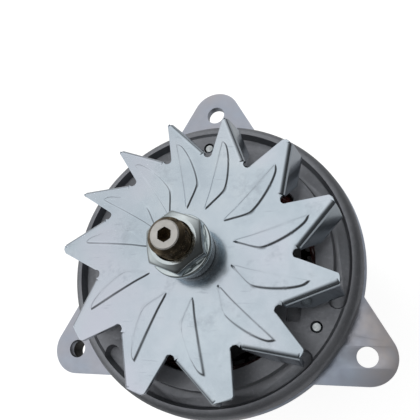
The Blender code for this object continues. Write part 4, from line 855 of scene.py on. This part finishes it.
def sector(inner, outer, start, end, corner, steps=8):
    """A piece of a ring with rounded corners."""
    outer_turn = math.degrees(corner / (outer - corner))
    inner_turn = math.degrees(corner / (inner + corner))
    points = arc(polar(outer - corner, start + outer_turn), corner, start - 90, start + outer_turn, 6)
    points += arc((0, 0), outer, start + outer_turn, end - outer_turn, steps)[1:-1]
    points += arc(polar(outer - corner, end - outer_turn), corner, end - outer_turn, end + 90, 6)
    points += arc(polar(inner + corner, end - inner_turn), corner, end + 90, end + 180 - inner_turn, 6)
    points += arc((0, 0), inner, end - inner_turn, start + inner_turn, steps)[1:-1]
    points += arc(polar(inner + corner, start + inner_turn), corner, start + 180 + inner_turn, start + 270, 6)
    return points


def channel(start, end):
    """The tool that cuts an arc channel: round ends, sloping sides and a softened floor."""
    rings = []
    for level, half in (
        (FACE - CHANNEL_DEPTH, CHANNEL_FLOOR_HALF - 0.0006),
        (FACE - CHANNEL_DEPTH + 0.0003, CHANNEL_FLOOR_HALF),
        (CREST + 0.0005, CHANNEL_TOP_HALF),
    ):
        outer = arc((0, 0), CHANNEL_R + half, start, end, 40)
        inner = arc((0, 0), CHANNEL_R - half, end, start, 40)
        far = arc(polar(CHANNEL_R, end), half, end, end + 180, 12)[1:-1]
        near = arc(polar(CHANNEL_R, start), half, start + 180, start + 360, 12)[1:-1]
        rings.append([(x, y, level) for x, y in outer + far + inner + near])
    return loft("channel", rings)


def shield():
    rim = arc((RIM_R - RIM_ROUND, CREST - RIM_ROUND), RIM_ROUND, 90, 0, 12)
    profile = rim + [
        (RIM_R, SEAT_Z),
        (SPIGOT_R, SEAT_Z),
        (SPIGOT_R, SPIGOT_LOW),
        (SPIGOT_IN, SPIGOT_LOW),
        (SPIGOT_IN, WEB_SKIRT),
        (WINDOW_OUT, WEB_LOW),
        (HUB_R, WEB_LOW),
        (HUB_R, HUB_BACK),
        (BEARING_SEAT, HUB_BACK),
        (BEARING_SEAT, HUB_LIP),
        (BEARING_LIP, HUB_LIP),
        (BEARING_LIP, HUB_NOSE - 0.0004),
        (BEARING_LIP + 0.0004, HUB_NOSE),
        (0.0240, HUB_NOSE),
        (0.0250, HUB_NOSE - 0.0002),
        (0.0273, HUB_NOSE - 0.0014),
        (0.0279, HUB_NOSE - 0.0022),
        (0.0296, FACE + 0.0022),
        (0.0303, FACE + 0.0007),
        (HUB_R + 0.0006, FACE),
        (0.0663, FACE),
        (0.0668, FACE + 0.0003),
    ]
    mesh = turned("shield", profile, 144)
    windows = []
    for lug in LUGS:
        middle = lug + 60
        for a, b in ((lug + PAD_HALF, middle - SPOKE_HALF), (middle + SPOKE_HALF, lug + 120 - PAD_HALF)):
            windows.append(prism("window", [sector(WINDOW_IN, WINDOW_OUT, a, b, WINDOW_CORNER)], *WINDOW_CUT))
    mesh = boolean(mesh, merged("windows", windows))
    for lug in LUGS:
        mesh = boolean(mesh, channel(lug + CHANNEL_END, lug + 120 - CHANNEL_END))
    a, b, c = POCKET_SIZE
    middles = ((a - c, b - c), (c - a, b - c), (c - a, c - b), (a - c, c - b))
    outline = [point for i, middle in enumerate(middles) for point in arc(middle, c, 90 * i, 90 * i + 90, 4)]
    pockets = []
    for lug in LUGS:
        pocket = prism("pocket", [outline], FACE - POCKET_DEPTH, FACE + OVER)
        pockets.append(moved(pocket, *polar(POCKET_CIRCLE, lug), 0, lug + POCKET_TURN))
    mesh = boolean(mesh, merged("pockets", pockets))
    mesh = drilled(mesh, BOLT_CIRCLE, LUGS, BOLT_HOLE, SPIGOT_LOW - OVER, FACE + OVER)
    mesh = drilled(mesh, FLANGE_BOLT_CIRCLE, LUGS, BOLT_HOLE, SEAT_Z - OVER, 0.0876)
    mesh = drilled(mesh, RETAINER_CIRCLE, RETAINER_ANGLES, 0.0021, HUB_BACK - OVER, 0.0880)
    mesh = bevelled(mesh, 0.00035, 2, 38)
    piece("shield", welded(mesh), "housing", "front_housing", "dark_cast", 30)


def plate():
    side = LUG_CIRCLE * math.cos(math.radians(60)) + LUG_R
    reach = math.degrees(math.acos(side / PLATE_R))
    outline = []
    for lug in LUGS:
        before = lug - 60
        outline += arc((0, 0), PLATE_R, before - reach, before + reach, 60)
        outline += arc(polar(LUG_CIRCLE, lug), LUG_R - 0.00005, before, before + 120, 30)
    holes = [arc((0, 0), PLATE_BORE, 0, 357.5, 143)]
    for lug in LUGS:
        holes.append(arc(polar(LUG_CIRCLE, lug), LUG_HOLE, 0, 352.5, 47))
        holes.append(arc(polar(FLANGE_BOLT_CIRCLE, lug), BOLT_HOLE, 0, 350, 35))
    mesh = bevelled(prism("flange", [outline] + holes, PLATE_LOW, PLATE_TOP), 0.0004, 3, 50)
    piece("flange", mesh, "housing", "flange_plate", "zinc_plate", 18)
    ring = rounded_profile([(BUSH_R, 0), (BUSH_R, -BUSH_LENGTH), (LUG_HOLE, -BUSH_LENGTH), (LUG_HOLE, 0)], 0.0005)
    mesh = moved(turned("bush", ring, 64), *polar(LUG_CIRCLE, BUSH_LUG), PLATE_LOW - SEAT)
    piece("bush", mesh, "housing", "lug_bush", "dark_steel", finish=BUSH_FINISH)


# Threads, nuts and bolts


def threaded(name, radius, low, high, pitch, depth, chamfer, around, tail):
    """A rod with a helical thread and a chamfer at its top. Under the thread it goes on through the tail's points."""
    count = int((high - low) / pitch * THREAD_STEPS)
    build = bmesh.new()
    rows = []
    for i in range(count + 1):
        z = low + (high - low) * i / count
        row = []
        for j in range(around):
            phase = (z - low) / pitch - j / around
            phase -= math.floor(phase)
            ridge = abs(phase * 2 - 1)
            ridge = max(0, min(1, ridge * 1.3 - 0.15))
            limit = radius - max(0, chamfer - (high - z)) * 1.25
            r = min(radius - depth * ridge, limit)
            turn = math.tau * j / around
            row.append(build.verts.new((r * math.cos(turn), r * math.sin(turn), z)))
        rows.append(row)
    for a, b in zip(rows, rows[1:]):
        bridge(build, a, b)
    lowest = rows[0]
    for radius_here, z in tail:
        row = circle(build, radius_here, z, around)
        bridge(build, row, lowest)
        lowest = row
    build.faces.new(list(reversed(lowest)))
    build.faces.new(rows[-1])
    return written(build, name)


def corner_radius(flats):
    return flats / 2 / math.cos(math.radians(30))


def hexagon(flats):
    return arc((0, 0), corner_radius(flats), 30, 330, 5)


def nut(flats, height, bore, land, low_land):
    """A hexagon nut on z = 0. Above and below, a 30 degree chamfer falls away outside its flat land."""
    slope = math.tan(math.radians(30))
    turns = [facet * 60 + step for facet in range(6) for step in NUT_TURNS]
    rows = []
    for turn in turns:
        side = flats / 2 / math.cos(math.radians(turn % 60 - 30))
        side = min(side, corner_radius(flats) - NUT_EDGE / 2)
        profile = [(bore, NUT_LEAD), (bore, height - NUT_LEAD), (bore + NUT_LEAD, height), (land, height)]
        for share in (0.33, 0.66, 1):
            r = land + (side - NUT_EDGE - land) * share
            profile.append((r, height - slope * (r - land)))
        drop = slope * (side - land)
        profile.append((side - NUT_EDGE * 0.3, height - drop - NUT_EDGE * 0.1))
        profile.append((side, height - drop - NUT_EDGE * 0.8))
        rise = slope * max(side - low_land, 0)
        profile += [(side, rise + NUT_EDGE * 0.8), (side - NUT_EDGE * 0.3, rise + NUT_EDGE * 0.2)]
        profile += [(min(side - NUT_EDGE, low_land), 0), (bore + NUT_LEAD, 0)]
        x, y = polar(1, turn + 30)
        rows.append([(r * x, r * y, z) for r, z in profile])
    build = bmesh.new()
    rows = [[build.verts.new(place) for place in row] for row in rows]
    for row, following in zip(rows, rows[1:] + rows[:1]):
        for j in range(len(row)):
            k = (j + 1) % len(row)
            build.faces.new((row[j], following[j], following[k], row[k]))
    return written(build, "nut")


def bolt(length):
    """Head below z = 0, shank above, threaded at its end."""
    corner = corner_radius(BOLT_FLATS)
    chamfer = BOLT_FLATS * 0.07
    wide = corner + 0.001
    shoulder = -BOLT_HEAD + 0.6 * (chamfer + 0.001)
    cone = [(0, 0), (wide, 0), (wide, shoulder), (corner - chamfer, -BOLT_HEAD), (0, -BOLT_HEAD)]
    body = prism("head", [hexagon(BOLT_FLATS)], -BOLT_HEAD, 0)
    body = boolean(body, turned("cone", cone, 48, closed=False), "INTERSECT")
    body = bevelled(body, 0.00015, 2, 25)
    low = max(length - BOLT_THREAD, length * 0.4)
    tail = [(BOLT_R - 0.0002, -BOLT_HEAD / 2)]
    thread = threaded("thread", BOLT_R, low, length, 0.0008, 0.0004, 0.0006, 32, tail)
    return merged("bolt", [body, thread])


def stack():
    """Sleeve, spacer, washer and nut on the shaft."""
    for name, node, radius, bore, low, high, edge, steps, slot, finish in (
        ("sleeve_ring", "sleeve", 0.0120, 0.0083, 0.1128, 0.1224, 0.0006, 3, "steel", SLEEVE_FINISH),
        ("spacer_ring", "fan_spacer", 0.0120, 0.0088, 0.0981, 0.1102, 0.0004, 3, "steel", None),
        ("washer_ring", "washer", 0.0139, 0.0083, 0.1227, 0.1258, 0.0009, 4, "zinc", None),
    ):
        profile = rounded_profile([(radius, high), (radius, low), (bore, low), (bore, high)], edge, steps)
        piece(name, turned(node, profile, 96), "rotor", node, slot, finish=finish)
    mesh = nut(flats=0.0240, height=0.0072, bore=0.0083, land=0.0101, low_land=0.0134)
    piece("nut", moved(mesh, 0, 0, 0.1261, 8), "rotor", "shaft_nut", "zinc", 26)


def shaft():
    """Threaded end, journals, the socket with its lead-in, and the slot for the key."""
    tail = [
        (THREAD_R, 0.1127),
        (0.0085, 0.1125),
        (0.0085, 0.0835),
        (0.0105, 0.0835),
        (0.0105, 0.0732),
        (0.0090, 0.0732),
        (0.0090, 0.0331),
        (0.0060, 0.0331),
        (0.0060, 0.0042),
        (0.0055, 0.0037),
    ]
    mesh = threaded("shaft", THREAD_R, THREAD_LOW, SHAFT_TOP, 0.0015, 0.00085, 0.0019, 96, tail)
    mesh = boolean(mesh, prism("socket", [hexagon(SOCKET_FLATS)], SOCKET_LOW, 0.1440))
    lead = [(0, 0.1427), (0.0034, 0.1427), (0.0026, 0.1419), (0, 0.1419)]
    mesh = boolean(mesh, turned("lead", lead, 64, closed=False))
    slot = [(0.0062, -0.0021), (0.0100, -0.0021), (0.0100, 0.0021), (0.0062, 0.0021)]
    mesh = boolean(mesh, prism("slot", [slot], 0.1138, 0.1214))
    obj = piece("shaft_rod", mesh, "rotor", "shaft", "dark_steel", 34)
    obj.data.materials.append(END_FACE)
    for face in obj.data.polygons:
        if face.center.z > END_FACE_LEVEL and face.normal.z > 0.5:
            face.material_index = 1


def bolts():
    for number, angle in enumerate(LUGS, 1):
        mesh = moved(bolt(FACE - REAR_FLANGE_LOW), *polar(BOLT_CIRCLE, angle), REAR_FLANGE_LOW - SEAT, angle)
        piece(f"stud_{number}", mesh, "housing", f"through_bolt_{number}", "zinc", 28, STUD_FINISH)
        mesh = moved(bolt(FLANGE_BOLT_LENGTH), *polar(FLANGE_BOLT_CIRCLE, angle), PLATE_LOW - SEAT, angle)
        piece(f"fixing_{number}", mesh, "housing", f"flange_bolt_{number}", "zinc", 28)


# Stator and rear end


def stator():
    mouth, corner = polar(STATOR_BORE, SLOT_MOUTH), (SLOT_BOTTOM, SLOT_HALF)
    slot = [(mouth[0], -mouth[1]), (corner[0], -corner[1]), corner, mouth]
    bore = []
    for i in range(SLOTS):
        turn = math.radians(SLOT_PITCH * i)
        bore += [(x * math.cos(turn) - y * math.sin(turn), x * math.sin(turn) + y * math.cos(turn)) for x, y in slot]
    holes = [arc(polar(BOLT_CIRCLE, a), BOLT_HOLE, 0, 345, 23) for a in LUGS]
    mesh = prism("core", [arc((0, 0), SPIGOT_R, 0, 357.5, 143), bore] + holes, STATOR_LOW, STATOR_TOP)
    mesh = bevelled(mesh, 0.0003, 1, 60)
    piece("lamination_pack", mesh, "housing", "stator_core", "laminations")


def tube(points, radius, sides):
    """A closed tube along a polyline that never runs straight up."""
    rings = []
    last = len(points) - 1
    for i, point in enumerate(points):
        forward = (Vector(points[min(last, i + 1)]) - Vector(points[max(0, i - 1)])).normalized()
        side = forward.cross(Vector((0, 0, 1))).normalized()
        lift = side.cross(forward).normalized()
        turns = [math.tau * k / sides for k in range(sides)]
        rings.append(
            [tuple(Vector(point) + radius * math.cos(t) * side + radius * math.sin(t) * lift) for t in turns]
        )
    return loft("tube", rings)


def winding():
    """Wires that leave one slot, lean over and enter the slot three further on, at both ends, and bars between."""
    wires = []
    for sign, base in ((1, STATOR_TOP), (-1, STATOR_LOW)):
        for i in range(SLOTS):
            for layer in range(WIRE_LAYERS):
                start_r = WIRE_IN + WIRE_LAYER * layer
                end_r = WIRE_IN + WIRE_LAYER * ((layer + 2) % WIRE_LAYERS)
                points = []
                for k in range(WIRE_STEPS + 1):
                    t = k / WIRE_STEPS
                    ease = t * t * (3 - 2 * t)
                    rise = math.sin(math.pi * t) ** 0.55 if 0 < t < 1 else 0
                    height = (WIRE_RISE + 0.0004 * layer) * rise
                    x, y = polar(start_r + (end_r - start_r) * ease, SLOT_PITCH * i + WIRE_SPAN * ease)
                    points.append((x, y, base + sign * (height - 0.0005)))
                wires.append(tube(points, WIRE_R, WIRE_SIDES))
    section = [(BAR_IN, -BAR_HALF), (BAR_OUT, -BAR_HALF), (BAR_OUT, BAR_HALF), (BAR_IN, BAR_HALF)]
    bars = [
        moved(prism("bar", [section], STATOR_LOW - 0.0009, STATOR_TOP + 0.0009), turn=SLOT_PITCH * i)
        for i in range(SLOTS)
    ]
    piece("winding", merged("winding", wires + bars), "housing", "stator_winding", "enamelled_wire", 50)


def rear_shell():
    profile = [
        (0, 0.0030),
        (0.0163, 0.0030),
        (0.0163, 0.0143),
        (0.0206, 0.0143),
        (0.0210, 0.0060),
        (0.0225, 0.0045),
        (0.0495, 0.0045),
        (0.0510, 0.0060),
        (0.0510, 0.0308),
        (SPIGOT_IN, 0.0343),
        (SPIGOT_IN, REAR_TOP),
        (SPIGOT_R, REAR_TOP),
        (SPIGOT_R, REAR_FLANGE_LOW + 0.0006),
        (SPIGOT_R - 0.0006, REAR_FLANGE_LOW),
        (0.0555, REAR_FLANGE_LOW),
        (0.0545, REAR_FLANGE_LOW - 0.0010),
    ]
    profile += arc((0.0495, 0.0050), 0.0050, 0, -90, 10)
    profile += [(0.0250, 0), (0.0238, 0.0006), (0.0226, 0.0006), (0.0214, 0), (0, 0)]
    mesh = turned("rear", profile, 144, closed=False)
    mesh = drilled(mesh, POST_CIRCLE, POST_ANGLES, 0.0040, 0.0030, 0.0065, operation="UNION")
    vent = arc((VENT_OUT, 0), VENT_HALF, -90, 90, 10) + arc((VENT_IN, 0), VENT_HALF, 90, 270, 10)
    vents = [moved(prism("vent", [vent], -OVER, 0.0060), turn=angle) for angle in range(45, 300, 30)]
    mesh = boolean(mesh, merged("vents", vents))
    mesh = drilled(mesh, BOLT_CIRCLE, LUGS, BOLT_HOLE, REAR_FLANGE_LOW - OVER, REAR_TOP + OVER)
    mesh = drilled(mesh, POST_CIRCLE, POST_ANGLES, 0.0019, 0.0014, 0.0090, 20)
    side_hole = turned("side", [(0, 0.0580), (0.0054, 0.0580), (0.0054, 0.0480), (0, 0.0480)], 40, closed=False)
    mesh = boolean(mesh, at_terminal(side_hole))
    mesh = bevelled(mesh, 0.0004)
    piece("rear_shell", mesh, "housing", "rear_housing", "cast_aluminium", 30)


def terminal():
    tail = [(0.0030, 0.0495), (0.0030, 0.0478), (0.0026, 0.0474)]
    rod = threaded("stud", 0.0030, 0.0500, 0.0640, 0.0010, 0.0005, 0.0008, 48, tail)
    piece("terminal_rod", at_terminal(rod), "housing", "terminal_stud", "brass", 34)
    ring = rounded_profile(
        [(0.0062, 0.0568), (0.0062, 0.0548), (0.0051, 0.0548), (0.0051, 0.0510), (0.0033, 0.0510), (0.0033, 0.0568)],
        0.0004,
    )
    collar = at_terminal(turned("collar", ring, 48))
    piece("terminal_collar", collar, "housing", "terminal_insulator", "black_plastic")
    mesh = nut(flats=0.0090, height=0.0045, bore=0.0033, land=0.0042, low_land=0.0046)
    piece("terminal_hexagon", at_terminal(moved(mesh, 0, 0, 0.0571)), "housing", "terminal_nut", "brass", 26)


def coils():
    """The brush springs. Each one shortens towards the holder as its brush slides back."""
    count = SPRING_TURNS * SPRING_STEPS
    for number in (1, 2):
        low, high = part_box(f"brush_spring_{number}")
        middle = (low + high) / 2
        radius = min(high.y - low.y, high.z - low.z) / 2 - SPRING_WIRE
        run = high.x - low.x - 2 * SPRING_WIRE
        rings = []
        for i in range(count + 1):
            turn = math.tau * i / SPRING_STEPS
            x = low.x + SPRING_WIRE + run * i / count
            ring = []
            for k in range(SPRING_SIDES):
                around = math.tau * k / SPRING_SIDES
                out = radius + SPRING_WIRE * math.cos(around)
                lean = SPRING_WIRE * math.sin(around)
                ring.append((x + lean, middle.y + out * math.cos(turn), middle.z + out * math.sin(turn)))
            rings.append(ring)
        coil = piece(f"coil_{number}", loft("coil", rings), "housing", f"brush_spring_{number}", "steel", 40)
        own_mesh(coil)


def carry_over():
    """Every node that stays visible gets its finish."""
    slots = {entry["node"]: entry["material_slot"] for entry in frame["record"]["subparts"]}
    for name, obj in frame["nodes"].items():
        obj.data.materials.clear()
        obj.data.materials.append(FINISH[slots[name]])


# Stage, light and camera


def stage():
    """A pale floor that the camera sees as white but for the object's shadow, and that metal shows dimly."""
    build = bmesh.new()
    bmesh.ops.create_grid(build, x_segments=2, y_segments=2, size=FLOOR_SIZE)
    mesh = written(build, "floor", outward=False)
    floor = link("floor", mesh)
    material, tree, shader = nodes_of("pale_floor")
    shader.inputs["Base Color"].default_value = (FLOOR_SHADE, FLOOR_SHADE, FLOOR_SHADE, 1)
    shader.inputs["Roughness"].default_value = 0.9
    shader.inputs["Specular IOR Level"].default_value = 0.1
    shader.inputs["Emission Color"].default_value = (1, 1, 1, 1)
    path = tree.nodes.new("ShaderNodeLightPath")
    mirrored = combine(tree, path.outputs["Is Glossy Ray"], path.outputs["Is Transmission Ray"], "MAXIMUM")
    mirrored = combine(tree, mirrored, FLOOR_MIRRORED, "MULTIPLY")
    seen = combine(tree, path.outputs["Is Camera Ray"], mirrored, "MAXIMUM")
    tree.links.new(combine(tree, seen, FLOOR_GLOW, "MULTIPLY"), shader.inputs["Emission Strength"])
    mesh.materials.append(material)


def world():
    """White for the camera. For the object, a soft light from one side that fades at the horizon."""
    scene = bpy.context.scene
    scene.world = bpy.data.worlds.new("studio")
    scene.world.use_nodes = True
    tree = scene.world.node_tree
    background = tree.nodes["Background"]
    coord = tree.nodes.new("ShaderNodeTexCoord")
    dot = tree.nodes.new("ShaderNodeVectorMath")
    dot.operation = "DOT_PRODUCT"
    dot.inputs[1].default_value = Vector(SKY_SIDE).normalized()
    tree.links.new(coord.outputs["Generated"], dot.inputs[0])
    half = tree.nodes.new("ShaderNodeMath")
    half.operation = "MULTIPLY_ADD"
    half.inputs[1].default_value = 0.5
    half.inputs[2].default_value = 0.5
    tree.links.new(dot.outputs["Value"], half.inputs[0])
    sky = ramp(tree, half.outputs["Value"], [(place, (level,) * 3) for place, level in SKY_LEVELS])
    split = tree.nodes.new("ShaderNodeSeparateXYZ")
    tree.links.new(coord.outputs["Generated"], split.inputs[0])
    height = remap(tree, split.outputs["Z"], HORIZON_LEVEL, 1.0, *HORIZON_FADE)
    dimmed = tree.nodes.new("ShaderNodeVectorMath")
    dimmed.operation = "SCALE"
    tree.links.new(sky, dimmed.inputs[0])
    tree.links.new(height, dimmed.inputs["Scale"])
    path = tree.nodes.new("ShaderNodeLightPath")
    colour = blend_colour(tree, path.outputs["Is Camera Ray"], dimmed.outputs["Vector"], (1, 1, 1))
    tree.links.new(colour, background.inputs["Color"])
    background.inputs["Strength"].default_value = 1.0


def lamp(name, place, size, power):
    light = bpy.data.lights.new(name, "AREA")
    light.shape = "DISK"
    light.size = size
    light.energy = power
    obj = link(name, light)
    obj.visible_glossy = False
    obj.location = place
    obj.rotation_euler = (Vector(LAMP_TARGET) - Vector(place)).to_track_quat("-Z", "Y").to_euler()


def camera():
    data = bpy.data.cameras.new("camera")
    obj = link("camera", data)
    turn = Matrix((CAMERA_RIGHT, -CAMERA_DOWN, -CAMERA_AHEAD)).transposed().to_4x4()
    obj.matrix_world = Matrix.Translation(CAMERA_PLACE) @ turn
    data.sensor_width = SENSOR
    data.lens = SENSOR * FOCAL_PIXELS / PHOTO_SIZE
    data.shift_x = (PHOTO_SIZE / 2 - MIDDLE_X) / PHOTO_SIZE
    data.shift_y = (MIDDLE_Y - PHOTO_SIZE / 2) / PHOTO_SIZE
    data.clip_start = 0.01
    data.clip_end = 20
    bpy.context.scene.camera = obj


bpy.context.scene.view_settings.view_transform = "Standard"
camera()
world()
stage()
lamp("key", (-0.62, 0.55, 0.65), size=0.5, power=7.0)
lamp("fill", (0.45, -0.60, 0.70), size=0.6, power=3.0)
carry_over()
fan_piece()
shield()
plate()
stack()
shaft()
bolts()
stator()
winding()
rear_shell()
terminal()
coils()
